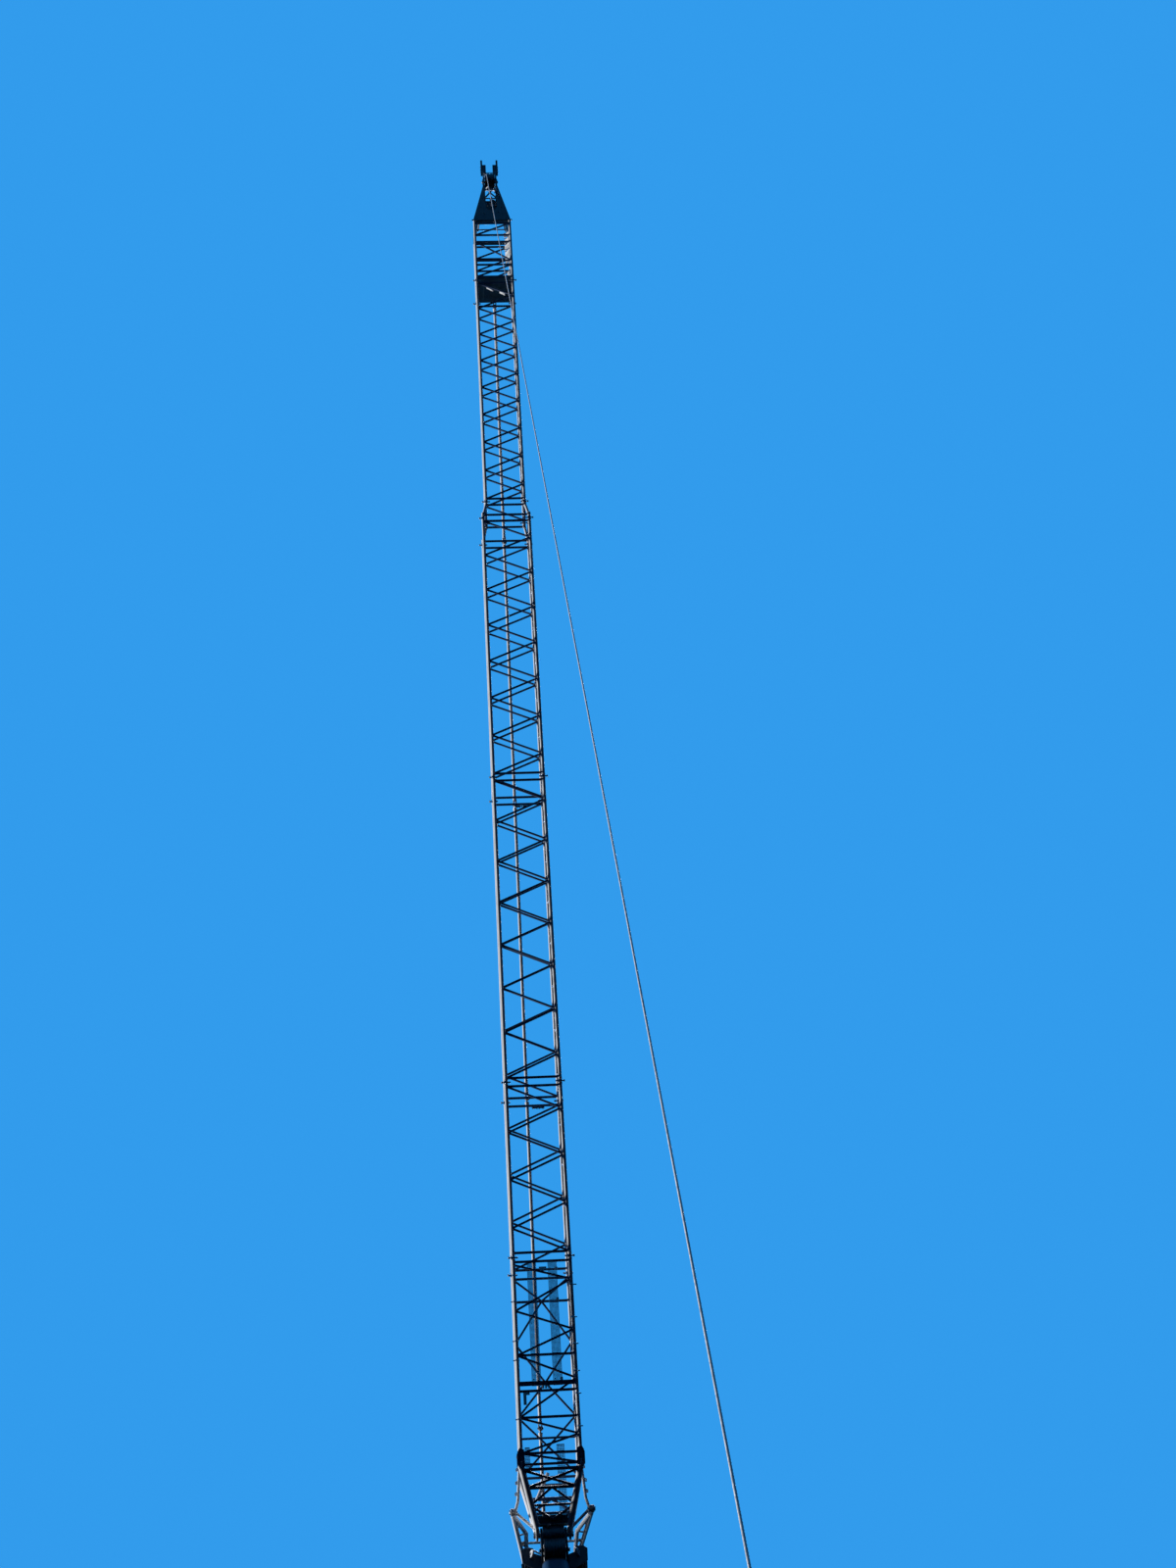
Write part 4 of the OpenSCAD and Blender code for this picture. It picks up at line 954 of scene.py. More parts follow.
GRATING_W, GRATING_PITCH, GRATING_T = 0.028, 0.066, 0.003
# Bearing bars, edge and bar thickness, pitch and thickness of the cross bars.
MAIN_GRATE = (8, 1.4 * MM, MM, 3.6 * MM, 1.5 * MM)
INNER_GRATE = (6, 1.2 * MM, 1.2 * MM, 4.2 * MM, 1.6 * MM)
# Across, low, high and width of each narrow grating.
INNER_GRATINGS = ((0.034, 0.066, 0.268, 0.024), (-0.0685, 0.205, 0.262, 0.015))


class JIB_OT_gratings(Operator):
    """Builds the two walkway gratings in the butt from bearing bars and cross bars"""

    bl_idname = "jib.gratings"
    bl_label = "Walkway gratings"

    def execute(self, context):
        s, z = sizes(), stations()
        shape = on_jib()
        low, high = BEAM_Z - BEAM_H / 2, z[1] - s.frame_gap
        y = -s.main_h / 2 + s.end_frame / 2 + GRATING_T / 2
        for x, inner_low, inner_high, wide in INNER_GRATINGS:
            self.grate(shape, x, 0, inner_low, inner_high, wide, *INNER_GRATE)
            for k in BOTH:
                at = (inner_low + inner_high) / 2 + k * (inner_high - inner_low) / 2
                shape.block((x, 0, at), (wide, 4 * MM, 3 * MM))
        for side in BOTH:
            mid = side * GRATING_PITCH / 2
            self.grate(shape, mid, y, low, high, GRATING_W, *MAIN_GRATE)
            for z_at in (low + 0.02, (low + high) / 2, high - 0.02):
                for k in BOTH:
                    shape.bolt((mid + k * 0.008, y - GRATING_T / 2, z_at), UNDER, 1.2 * MM)
        make(shape, "walkway_grating_bars", "grating", ["walkway_gratings"])
        return {"FINISHED"}

    def grate(self, shape, x, y, low, high, wide, bars, edge_t, bar_t, pitch, rod):
        """Bearing bars along the jib, the outer two as edges, with cross bars let into them."""
        for k in range(bars):
            shape.block((x + (k / (bars - 1) - 0.5) * (wide - 0.8 * MM), y, (low + high) / 2),
                        (edge_t if k in (0, bars - 1) else bar_t, GRATING_T, high - low))
        count = int((high - low) / pitch)
        for i in range(count + 1):
            shape.block((x, y + 0.5 * MM, low + 0.5 * MM + i * (high - low - MM) / count),
                        (wide, 1.2 * MM, rod))


# ---------------------------------------------------------------- pins, pendant and A-frame


LUG_H = 0.029
BAR_L, BAR_D, BAR_PIN_D, BAR_EYE_W, BAR_EYE_T = 1.170, 0.012, 0.006, 0.016, 0.006
BAR_LUG_T, BAR_END = 0.004, 0.015
A_REACH, A_DROP, A_HEAD_W, A_LEG_D, A_TUBE_D, A_LUG_REACH = 0.875, 0.110, 0.056, 0.014, 0.034, 0.030
BAR_BORE = BAR_PIN_D + LUG_CLEAR
BAR_LUG_X = BAR_EYE_T / 2 + LUG_CLEAR + BAR_LUG_T / 2
INNER_D = 13 * MM


def pendant_ends():
    """The pendant's top eye, its lower eye and its direction upwards, in the jib's frame."""
    s, z = sizes(), stations()
    top = Vector((0, s.slim_h / 2 + LUG_H, z[6] + BULKHEAD_UP + BULKHEAD_T / 2))
    head = Vector((0, A_REACH, -A_DROP))
    way = (top - head).normalized()
    return top, head + way * A_LUG_REACH, way


def pin(shape, at, d, reach, way=1):
    """A pin along X: chamfered shank, head with a grip on the outer side, washer and split ring."""
    x, y, z = at
    shape.turned(at, (way, 0, 0),
                 [(-reach, d * 0.38), (-reach + 0.2 * d, d / 2), (reach - 0.7 * d, d / 2),
                  (reach - 0.7 * d, d * 0.82), (reach - 0.15 * d, d * 0.82), (reach, d * 0.66)], 18)
    shape.turned((x - way * (reach - 0.95 * d), y, z), (way, 0, 0), [(0, d * 0.8), (0.22 * d, d * 0.8)], 16)
    loop = [(x - way * (reach - 0.5 * d), y + d * 0.62 * cos(t), z + d * 0.62 * sin(t))
            for t in (2 * pi * k / 12 for k in range(12))]
    shape.swept(loop, 0.16 * d, 6, closed=True)


class JIB_OT_pins(Operator):
    """Builds the pins of the section joints, of the pendant and of the A-frame's feet"""

    bl_idname = "jib.pins"
    bl_label = "Joint pins"

    def execute(self, context):
        s, z = sizes(), stations()
        shape = on_jib()
        for i in range(1, 7):
            w, h = (s.main_w, s.main_h) if i < 5 else (s.slim_w, s.slim_h)
            for side in BOTH:
                for level in BOTH:
                    pin(shape, (side * w / 2, level * h / 2, z[i]), PIN_D, 0.016, side)
        top, foot, way = pendant_ends()
        count = ceil((top - foot).length / BAR_L)
        for i in range(count):
            pin(shape, top - way * i * BAR_L, BAR_PIN_D, 0.0105, 1)
        pin(shape, foot, BAR_PIN_D, 0.014, 1)
        for side in BOTH:
            pin(shape, (side * (A_FOOT_W / 2 - BOSS_W / 2), 0, A_FOOT_Z), FOOT_PIN_D, 0.0125, side)
        make(shape, "joint_pins_with_rings", "pin_steel", ["joint_pins"])
        return {"FINISHED"}


class JIB_OT_pendant(Operator):
    """Builds the pendant's pinned bars and the cross plate that they pull on"""

    bl_idname = "jib.pendant"
    bl_label = "Pendant"

    def execute(self, context):
        top, foot, way = pendant_ends()
        down = -way
        turn = Matrix((Vector(X), down.cross(Vector(X)), down)).transposed().to_4x4()
        shape = Shape(jib_place() @ Matrix.Translation(top) @ turn)
        whole = (top - foot).length
        count = ceil(whole / BAR_L)
        for i in range(count):
            self.bar(shape, i * BAR_L, min(BAR_L, whole - i * BAR_L), i < count - 1)
        make(shape, "pendant_rods", "pendant_paint", ["pendant_bars"])
        self.bulkhead()
        return {"FINISHED"}

    def bar(self, shape, start, long, has_fork):
        """A pinned bar: an eye, a rod with two turned necks, and a fork where another bar follows."""
        lug, hole = lug_outline(BAR_EYE_W, BAR_END + MM), [circle(BAR_BORE)]
        neck = BAR_EYE_W / 2 - 0.3 * MM
        necking = [(0, neck), (3 * MM, neck), (9 * MM, BAR_D / 2 + 0.6 * MM), (20 * MM, BAR_D / 2)]
        shape.plate(lug, BAR_EYE_T, (0, 0, start), Y, DOWN, hole)
        a, b = start + BAR_END, start + long - BAR_END
        shape.turned((0, 0, a), Z, necking, 18)
        shape.tube((0, 0, a + 18 * MM), (0, 0, b - 18 * MM), BAR_D, 18)
        shape.turned((0, 0, b), DOWN, necking, 18)
        for x in (-BAR_LUG_X, BAR_LUG_X) if has_fork else (0,):
            shape.plate(lug, BAR_LUG_T, (x, 0, start + long), Y, Z, hole)

    def bulkhead(self):
        """The cross plate: slots, edge flats, bolts and two round-ended lugs on its top edge."""
        s, z = sizes(), stations()
        shape = on_jib()
        low = z[6] + BULKHEAD_UP
        at = low + BULKHEAD_T / 2
        x, y, c = s.slim_w / 2 - 0.4 * MM, (s.slim_h + s.slim_chord) / 2, s.slim_chord / 2
        corner = [(s.slim_w / 2 - c, y), (s.slim_w / 2 - c, s.slim_h / 2 - c), (x, s.slim_h / 2 - c)]
        outline = corner + [(p, -q) for p, q in corner[::-1]]
        outline += [(-p, -q) for p, q in outline[:3]] + [(-p, q) for p, q in corner[::-1]]
        slots = [[(mid - long / 2, up - 2 * MM), (mid + long / 2, up - 2 * MM),
                  (mid + long / 2, up + 2 * MM), (mid - long / 2, up + 2 * MM)]
                 for mid, up, long in ((-0.015, -0.006, 0.011), (0.035, 0.017, 0.017))]
        shape.plate(outline[::-1], BULKHEAD_T, (0, 0, at), X, Y, slots)
        for k in BOTH:
            for i in range(-3, 4):
                shape.bolt((i * 0.020, k * (y - 0.006), low), DOWN, 1.8 * MM)
            for i in range(-2, 3):
                shape.bolt((k * (x - 0.006), i * 0.022, low), DOWN, 1.8 * MM)
            shape.block((k * 0.046, 0, low - 1.2 * MM), (2 * MM, 1.7 * y, 2.4 * MM))
            r = BAR_EYE_W / 2 + MM
            lug = [(-3 * MM, y - 0.020), (-3 * MM, y - 0.002), (-r, y - 0.001)]
            lug += [(r * cos(t), s.slim_h / 2 + LUG_H + r * sin(t))
                    for t in (pi - pi * i / 14 for i in range(15))]
            lug += [(-p, q) for p, q in reversed(lug[:3])]
            shape.plate(lug[::-1], BAR_LUG_T, (k * BAR_LUG_X, 0, at), Z, Y,
                        [circle(BAR_BORE, (0, s.slim_h / 2 + LUG_H), 20)])
        make(shape, "pendant_cross_plate", "dark_plate", ["pendant_bulkhead"], 0.3 * MM)
        shape = on_jib()
        tilt = Matrix.Rotation(radians(35), 3, "Y")
        shape.block((-0.0213, -0.018, low - 0.012), (0.032, 7 * MM, 2.5 * MM), tilt)
        shape.block((0.0322, 0.005, low - 0.013), (0.027, 0.013, 2.5 * MM), tilt)
        shape.swept([(-0.009, -0.0175, low - 0.019), (0.006, -0.011, low - 0.010),
                     (0.022, -0.0025, low - 0.006)], 3.5 * MM, 10)
        make(shape, "pendant_cross_straps", "lattice_paint")


class JIB_OT_a_frame(Operator):
    """Builds the A-frame behind the jib: legs, braces, foot eyes, head tube and pendant lugs"""

    bl_idname = "jib.a_frame"
    bl_label = "A-frame"

    def execute(self, context):
        shape = on_jib()
        foot = Vector((A_FOOT_W / 2, 0, A_FOOT_Z))
        head = Vector((A_HEAD_W / 2, A_REACH, -A_DROP))
        run = (head - foot).normalized()
        flip = Matrix.Diagonal((-1, 1, 1))
        lower = pendant_ends()[1]
        for side in (1, -1):
            turn = flip if side < 0 else Matrix.Identity(3)
            a, b = turn @ foot, turn @ head
            shape.tube(turn @ (foot + run * 0.014), b, A_LEG_D, 24)
            shape.turned(a, b - a, [(0.008, 0.0042), (0.014, 0.0050), (0.030, A_LEG_D / 2)], 20)
            shape.bead(turn @ (foot + run * 0.030), turn @ run, A_LEG_D, WELD_T, 16)
            shape.bead(turn @ (head - run * A_TUBE_D * 0.5), turn @ run, A_LEG_D, 1.4 * MM, 16)
            ring(shape, a, X, FOOT_BORE, FOOT_EYE_D, FOOT_EYE_W)
            self.lug(shape, side * BAR_LUG_X, Vector((0, A_REACH, -A_DROP)), lower)
        ties = [foot + (head - foot) * part for part in (0.25, 0.5, 0.75)]
        for at in ties:
            shape.welded((-at.x, at.y, at.z), at, 0.0075, A_LEG_D / 2, 16)
        for p, q in zip(ties, ties[1:]):
            shape.welded((-p.x, p.y, p.z), q, 0.006, A_LEG_D / 2, 12)
        self.inner_tubes(shape, foot, head)
        reach, r = (A_HEAD_W + A_LEG_D) / 2, A_TUBE_D / 2
        shape.turned((0, A_REACH, -A_DROP), X,
                     [(-reach, r - 4 * MM), (-reach + 1.5 * MM, r - 4 * MM), (-reach + 2 * MM, r),
                      (reach - 2 * MM, r), (reach - 1.5 * MM, r - 4 * MM), (reach, r - 4 * MM)], 36)
        lattice(shape, "a_frame")
        return {"FINISHED"}

    def inner_tubes(self, shape, foot, head):
        """A bowed second tube inside each leg's lower part, with short bars across to the leg."""
        def place(side, x, y):
            return Vector((side * x, y, foot.z + (head.z - foot.z) * y / head.y))

        def leg_x(y):
            return foot.x + (head.x - foot.x) * y / head.y

        for side in BOTH:
            a, b = place(side, 0.1165, 0.028), place(side, 0.0790, 0.150)
            c, end = place(side, 0.0765, 0.290), place(side, leg_x(0.350), 0.350)
            for p, q in ((a, b), (b, c), (c, end)):
                shape.tube(p, q, INNER_D, 16)
            for y, x in ((0.095, 0.0958), (0.150, 0.079), (0.205, 0.078), (0.255, 0.0771)):
                shape.welded(place(side, x, y), place(side, leg_x(y + 0.012), y + 0.012), 5.5 * MM, 4 * MM)
            for p in (b, c):
                ring(shape, p, (side, 0, 0), 3 * MM, 0.016, 7 * MM, 20)

    def lug(self, shape, x, centre, eye_at):
        """A tapered lug from the head tube out to the pendant's lower pin."""
        run = eye_at - centre
        r0, r1 = A_TUBE_D / 2 - 3 * MM, BAR_EYE_W / 2 + 2 * MM
        y = run.normalized()
        z = Vector(X).cross(y)
        long = run.length
        outline = [(r0 * cos(t), r0 * sin(t)) for t in (pi + pi * k / 12 for k in range(13))]
        outline += [(r1 * cos(t), long + r1 * sin(t)) for t in (pi * k / 12 for k in range(13))]
        shape.plate(outline, BAR_LUG_T, (x, centre.y, centre.z), z, y,
                    [circle(BAR_BORE, (0, long), 20)])


# ---------------------------------------------------------------- jib head, sheaves and guides


TIP_W, TIP_L, TIP_FRONT, TIP_BACK, PLATE_T = 0.060, 0.094, -0.048, 0.020, 0.005
SHEAVE_D, SHEAVE_W, SHEAVES, AXLE_D = 0.076, 0.014, 3, 0.012
SHEAVE_Y, SHEAVE_UP = -0.026, 0.036
SHEAVE_GAP = 0.6 * MM
SHEAVE_PITCH = SHEAVE_W + SHEAVE_GAP
# Places are measured across and along the head.
CHEEK_BOLTS = ((-0.060, 0.012), (-0.020, 0.010), (0.020, 0.010), (0.060, 0.012),
               (-0.048, 0.10), (0.036, 0.10), (-0.040, 0.19), (0.022, 0.19))
COVER_BOLTS = ((-0.062, 0.012), (-0.030, 0.012), (0.030, 0.012), (0.062, 0.012),
               (-0.044, 0.09), (0.044, 0.09), (-0.036, 0.15), (0.036, 0.15))
COVER_HOLES = ((7, (0.031, 0.052), 16), (4, (0.0235, 0.049), 12), (5, (-0.034, 0.048), 14),
               (4, (-0.030, 0.040), 12))
CROSS_TUBES = ((0.030, 0.050, 0.066), (-0.030, 0.085, 0.058), (0.028, 0.105, 0.054),
               (-0.044, 0.165, 0.042), (0.010, 0.150, 0.044), (-0.046, 0.222, 0.032))
LIT_PLATES = ((0.0320, 0.067, 0.020, 0.014), (-0.0330, 0.066, 0.014, 0.010), (0.0235, 0.200, 0.018, 0.020),
              (0.0290, 0.184, 0.018, 0.020), (0.0340, 0.169, 0.014, 0.018), (0.0010, 0.1330, 0.016, 0.050),
              (0.0230, 0.120, 0.012, 0.014), (-0.0180, 0.214, 0.024, 0.007), (0.0150, 0.216, 0.024, 0.007))
TRAY_PARTS = ((-0.080, -0.062, 0.034), (-0.118, -0.094, 0.030), (-0.158, -0.128, 0.040),
              (-0.236, -0.168, 0.036), (-0.330, -0.292, 0.018))
SLANTED_BARS = ((-0.010, -0.030, 0.205, 6, 50, radians(35)),
                (0.008, -0.034, 0.200, 5, 46, radians(-40)))
LIT_Y, LIT_SLANT = -0.056, radians(-53)
SLOT_W, SLOT_Z, BACK_Z = 3 * SHEAVE_PITCH + 3 * MM, 0.069, 0.150
PRONG_T, PRONG_W, PRONG_L, PRONG_Y, BLOCK_T = 0.008, 0.020, 0.080, -0.022, 0.016


def sheave_centre():
    return Vector((0, SHEAVE_Y, stations()[8] + SHEAVE_UP))


class JIB_OT_head(Operator):
    """Builds the plated head: a tapered box, two parallel tip plates, upright lugs and guards"""

    bl_idname = "jib.head"
    bl_label = "Jib head"

    def execute(self, context):
        s, z = sizes(), stations()
        x0, x1 = (s.slim_w + s.slim_chord) / 2, TIP_W / 2
        deep = (s.slim_h + s.slim_chord) / 2
        shape = on_jib()
        for side in BOTH:
            up = Vector((side * (x1 - x0), 0, s.head)).normalized()
            out = Vector((side * s.head, 0, x0 - x1)).normalized()
            base = Vector((side * x0, 0, z[7])) - out * PLATE_T / 2
            long = s.head / up.z
            shape.plate([(-deep, 0), (deep, 0), (TIP_BACK, long), (TIP_FRONT, long)], PLATE_T, base,
                        Y, up, [circle(0.034, (0.012, 0.060), 24), circle(0.024, (0.004, 0.130), 24)])
            for y, at in CHEEK_BOLTS:
                shape.bolt(base + out * PLATE_T / 2 + up * at + Vector((0, y, 0)), out, 2.2 * MM)
            self.tip(shape, side, z[8])
            shape.turned((side * (x0 - 0.005), -s.slim_h / 2, z[7] + 0.006), (side, 0, 0),
                         [(0, 3 * MM), (0.0105, 3 * MM), (0.011, 2.4 * MM)], 16)
        self.covers(shape, x0, x1, deep, z[7], s.head)
        make(shape, "jib_head_plates", "dark_plate", ["jib_head"], 0.4 * MM)
        self.inside(z[7])
        self.guard()
        return {"FINISHED"}

    def covers(self, shape, x0, x1, deep, z, high):
        """The underside plate with its open slot, the back plate's two strips and a base frame."""
        def half(at):
            return x0 + (x1 - x0) * at / high - PLATE_T * 0.6

        def lean(y0, y1, way):
            """The base, the direction upwards, the outer side and the stretch of a leaning plate."""
            up = Vector((0, y1 - y0, high)).normalized()
            out = Vector((0, way, 0))
            out = (out - up * out.dot(up)).normalized()
            return Vector((0, y0, z)) - out * PLATE_T / 2, up, out, 1 / up.z

        slot = SLOT_W / 2
        base, up, out, stretch = lean(-deep, TIP_FRONT, -1)
        outline = [(-half(0), 0), (half(0), 0), (half(high), high * stretch), (slot, high * stretch)]
        outline += [(slot * cos(t), (SLOT_Z + slot) * stretch + slot * sin(t))
                    for t in (-pi * k / 14 for k in range(15))]
        outline += [(-slot, high * stretch), (-half(high), high * stretch)]
        shape.plate(outline, PLATE_T, base, X, up, [circle(d * MM, at, n) for d, at, n in COVER_HOLES])
        for x, at in COVER_BOLTS:
            shape.bolt(base + up * at + Vector((x, 0, 0)) + out * PLATE_T / 2, out, 2.2 * MM)
        base, up, out, stretch = lean(deep, TIP_BACK, 1)
        for k in BOTH:
            strip = [(k * slot, BACK_Z * stretch), (k * half(BACK_Z), BACK_Z * stretch),
                     (k * half(high), high * stretch), (k * slot, high * stretch)]
            shape.plate(strip[::k], PLATE_T, base, X, up)
        for level in BOTH:
            shape.block((0, level * (deep - 0.008), z + 0.002), (2 * x0 - 0.012, 0.012, 4 * MM))

    def tip(self, shape, side, z):
        """A parallel plate with the axle's boss, an upright lug and the thick block inside it."""
        x = side * (TIP_W / 2 - PLATE_T / 2)
        shape.plate([(TIP_FRONT, -2 * MM), (TIP_BACK, -2 * MM), (TIP_BACK - 0.008, TIP_L),
                     (TIP_FRONT + 0.008, TIP_L)], PLATE_T, (x, 0, z), Y, Z,
                    [circle(AXLE_D, (SHEAVE_Y, SHEAVE_UP), 24)])
        ring(shape, (side * (TIP_W / 2 + 1.2 * MM), SHEAVE_Y, z + SHEAVE_UP), X, AXLE_D, 0.026, 3 * MM)
        top, c, w, high = z + TIP_L, 5 * MM, PRONG_W / 2, PRONG_L
        shape.plate([(-w, -4 * MM), (w, -4 * MM), (w, high - c), (w - c, high), (c - w, high),
                     (-w, high - c)],
                    PRONG_T, (side * (TIP_W / 2 + PRONG_T / 2), PRONG_Y, top), Y, Z,
                    [circle(7 * MM, (0, high - 0.012), 16)])
        shape.block((side * (TIP_W / 2 + MM - BLOCK_T / 2), PRONG_Y, top + 0.3 * high),
                    (BLOCK_T, PRONG_W - 4 * MM, 0.6 * high))
        for at in (0.008, 0.024, 0.040):
            shape.bolt((side * (TIP_W / 2 + PRONG_T), PRONG_Y, top + at), (side, 0, 0), 2.6 * MM)

    def inside(self, z):
        """Cross tubes and small plates between the cheeks, an inner plate, and a cable tray below."""
        shape = on_jib()
        for y, at, reach in CROSS_TUBES:
            shape.welded((-reach, y, z + at), (reach, y, z + at), 5.5 * MM, 0.003)
        for side in BOTH:
            shape.welded((side * 0.060, 0.030, z + 0.040), (side * 0.034, -0.036, z + 0.165), 5 * MM, 0.004)
        shape.welded((0.020, -0.050, z + 0.205), (0.036, -0.052, z + 0.150), 6.5 * MM, 0.003)
        y = LIT_Y
        slant = Matrix.Rotation(LIT_SLANT, 3, "Z")
        for x, at, wide, high in LIT_PLATES:
            shape.block((x, y, z + at), (wide, 2 * MM, high), slant)
        shape.swept([(-0.0247, y, z + 0.156), (-0.0250, y, z + 0.140), (-0.0225, y, z + 0.122),
                     (-0.0160, y, z + 0.107)], 5 * MM, 12)
        shape.block((0.012, 0.020, z + 0.212), (0.017, 3 * MM, 0.026))
        make(shape, "jib_head_cross_tubes", "lattice_paint")
        plate = on_jib()
        plate.block((0, -0.010, z + 0.150), (0.058, 3 * MM, 0.070))
        for x in (-0.022, 0.0, 0.022):
            plate.block((x, -0.013, z + 0.150), (3 * MM, 4 * MM, 0.068))
        for x, y, at, wide, long, angle in SLANTED_BARS:
            plate.block((x, y, z + at), (wide * MM, 4 * MM, long * MM), Matrix.Rotation(angle, 3, "Y"))
        make(plate, "jib_head_inner_plate", "dark_plate", (), 0.3 * MM)
        tray = on_jib()
        for low, high, wide in TRAY_PARTS:
            tray.block((0.060, LIT_Y, z + (low + high) / 2), (wide * 0.8, 1.6 * MM, high - low), slant)
            for at in (low, high):
                tray.block((0.062, -0.054, z + at), (0.028, 2 * MM, 4 * MM))
        make(tray, "jib_head_cable_tray", "lattice_paint", (), 0.3 * MM)

    def guard(self):
        """Rope keepers round the head sheaves: two rods and the straps that hold them."""
        shape = on_jib()
        c = sheave_centre()
        for angle in (70, 150):
            t = radians(angle)
            at = c + Vector((0, cos(t), sin(t))) * (SHEAVE_D / 2 + 3.2 * MM)
            shape.turned(at - Vector((0.0245, 0, 0)), X, [(0, 1.6 * MM), (0.049, 1.6 * MM)], 12)
            for side in BOTH:
                inner = c + Vector((side * 0.0238, cos(t) * 0.012, sin(t) * 0.012))
                shape.welded(inner, at + Vector((side * 0.0238, 0, 0)), 1.8 * MM, 0.001, 8)
        make(shape, "head_rope_keepers", "pin_steel")


def sheave(shape, at, d, w, bore, groove, spokes=0):
    """A grooved sheave about X with a hub, a thin web, ribs where spokes are given, and a rim."""
    h, r = w / 2, d / 2
    hub = bore / 2 + 5 * MM
    rim = r - groove * 2.4
    profile = [(-h, bore / 2), (-h, hub - 0.5 * MM), (-h + 0.5 * MM, hub), (-w / 4, hub), (-w / 4, rim),
               (-h, r - groove * 2), (-h, r - 0.4 * MM), (-h + 0.5 * MM, r)]
    profile += [(groove * 0.62 * cos(t), r - groove * 0.25 + groove * 0.75 * sin(t))
                for t in (pi + pi * k / 8 for k in range(9))]
    profile += [(-t, q) for t, q in reversed(profile[:8])]
    profile.append(profile[0])
    shape.turned(at, X, profile, 64, caps=False)
    for k in range(spokes):
        t = 2 * pi * k / spokes
        out = Vector((0, cos(t), sin(t)))
        turn = Matrix((Vector(X), out, Vector(X).cross(out))).transposed()
        shape.block(Vector(at) + out * (hub + rim) / 2, (w * 0.74, rim - hub, 1.6 * MM), turn)


HOURGLASS = ((-0.0075, 0.0064), (-0.0066, 0.0065), (-0.0030, 0.0036),
             (0.0030, 0.0036), (0.0066, 0.0065), (0.0075, 0.0064))
GUIDE_PLATE = ((-0.006, -0.0132), (0.006, -0.0132), (0.005, 0.002), (0, 0.0040), (-0.005, 0.002))


class JIB_OT_sheaves(Operator):
    """Builds the head sheaves, their axle and the hourglass rope guides on the jib's top"""

    bl_idname = "jib.sheaves"
    bl_label = "Sheaves and guides"

    def execute(self, context):
        s, z = sizes(), stations()
        c = sheave_centre()
        shape = on_jib()
        for i in range(SHEAVES):
            sheave(shape, c + Vector(((i - 1) * SHEAVE_PITCH, 0, 0)), SHEAVE_D, SHEAVE_W, AXLE_D, s.rope, 8)
        make(shape, "head_sheave_wheels", "sheave_iron", ["head_sheave"], body="head_sheaves")
        shape = on_jib()
        lo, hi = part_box("head_sheave_axle")
        reach, r = (hi.x - lo.x) / 2, (AXLE_D - 0.16 * MM) / 2
        shape.turned(c, X, [(-reach, r - MM), (-reach + MM, r), (reach - MM, r), (reach, r - MM)], 28)
        make(shape, "head_axle_rod", "pin_steel", ["head_sheave_axle"])
        shape = on_jib()
        y = s.main_h / 2 + 0.016
        for joint, first, pitch in ((z[2], 0.010, 0.020), (z[3], 0.0, 0.025)):
            at = joint - s.frame_gap
            for x in (first, first + pitch):
                shape.turned((x, y, at), X, HOURGLASS, 24)
            for x in (first - 0.0095, first + pitch / 2, first + pitch + 0.0095):
                shape.plate(GUIDE_PLATE, 1.6 * MM, (x, y, at), Z, Y, [circle(2 * MM, (0, 0), 10)])
            reach = pitch / 2 + 0.0115
            shape.turned((first + pitch / 2, y, at), X, [(-reach, 2 * MM), (reach, 2 * MM)], 14)
        make(shape, "rope_guide_rollers", "sheave_iron", ["rope_rollers"])
        return {"FINISHED"}


# ---------------------------------------------------------------- hoist line


WEIGHT_D, HOOK_D, WRAP = 0.050, 0.009, radians(150)
SOCKET, SHANK = 0.008, 0.018


def line_place():
    """The hoist line's frame: its origin where the plumb fall leaves the head sheave."""
    s = sizes()
    c = jib_place() @ sheave_centre()
    r = SHEAVE_D / 2 - s.rope + s.rope / 2 + 0.3 * MM
    return Matrix.Translation((-SHEAVE_PITCH, c.y - r, c.z)), r


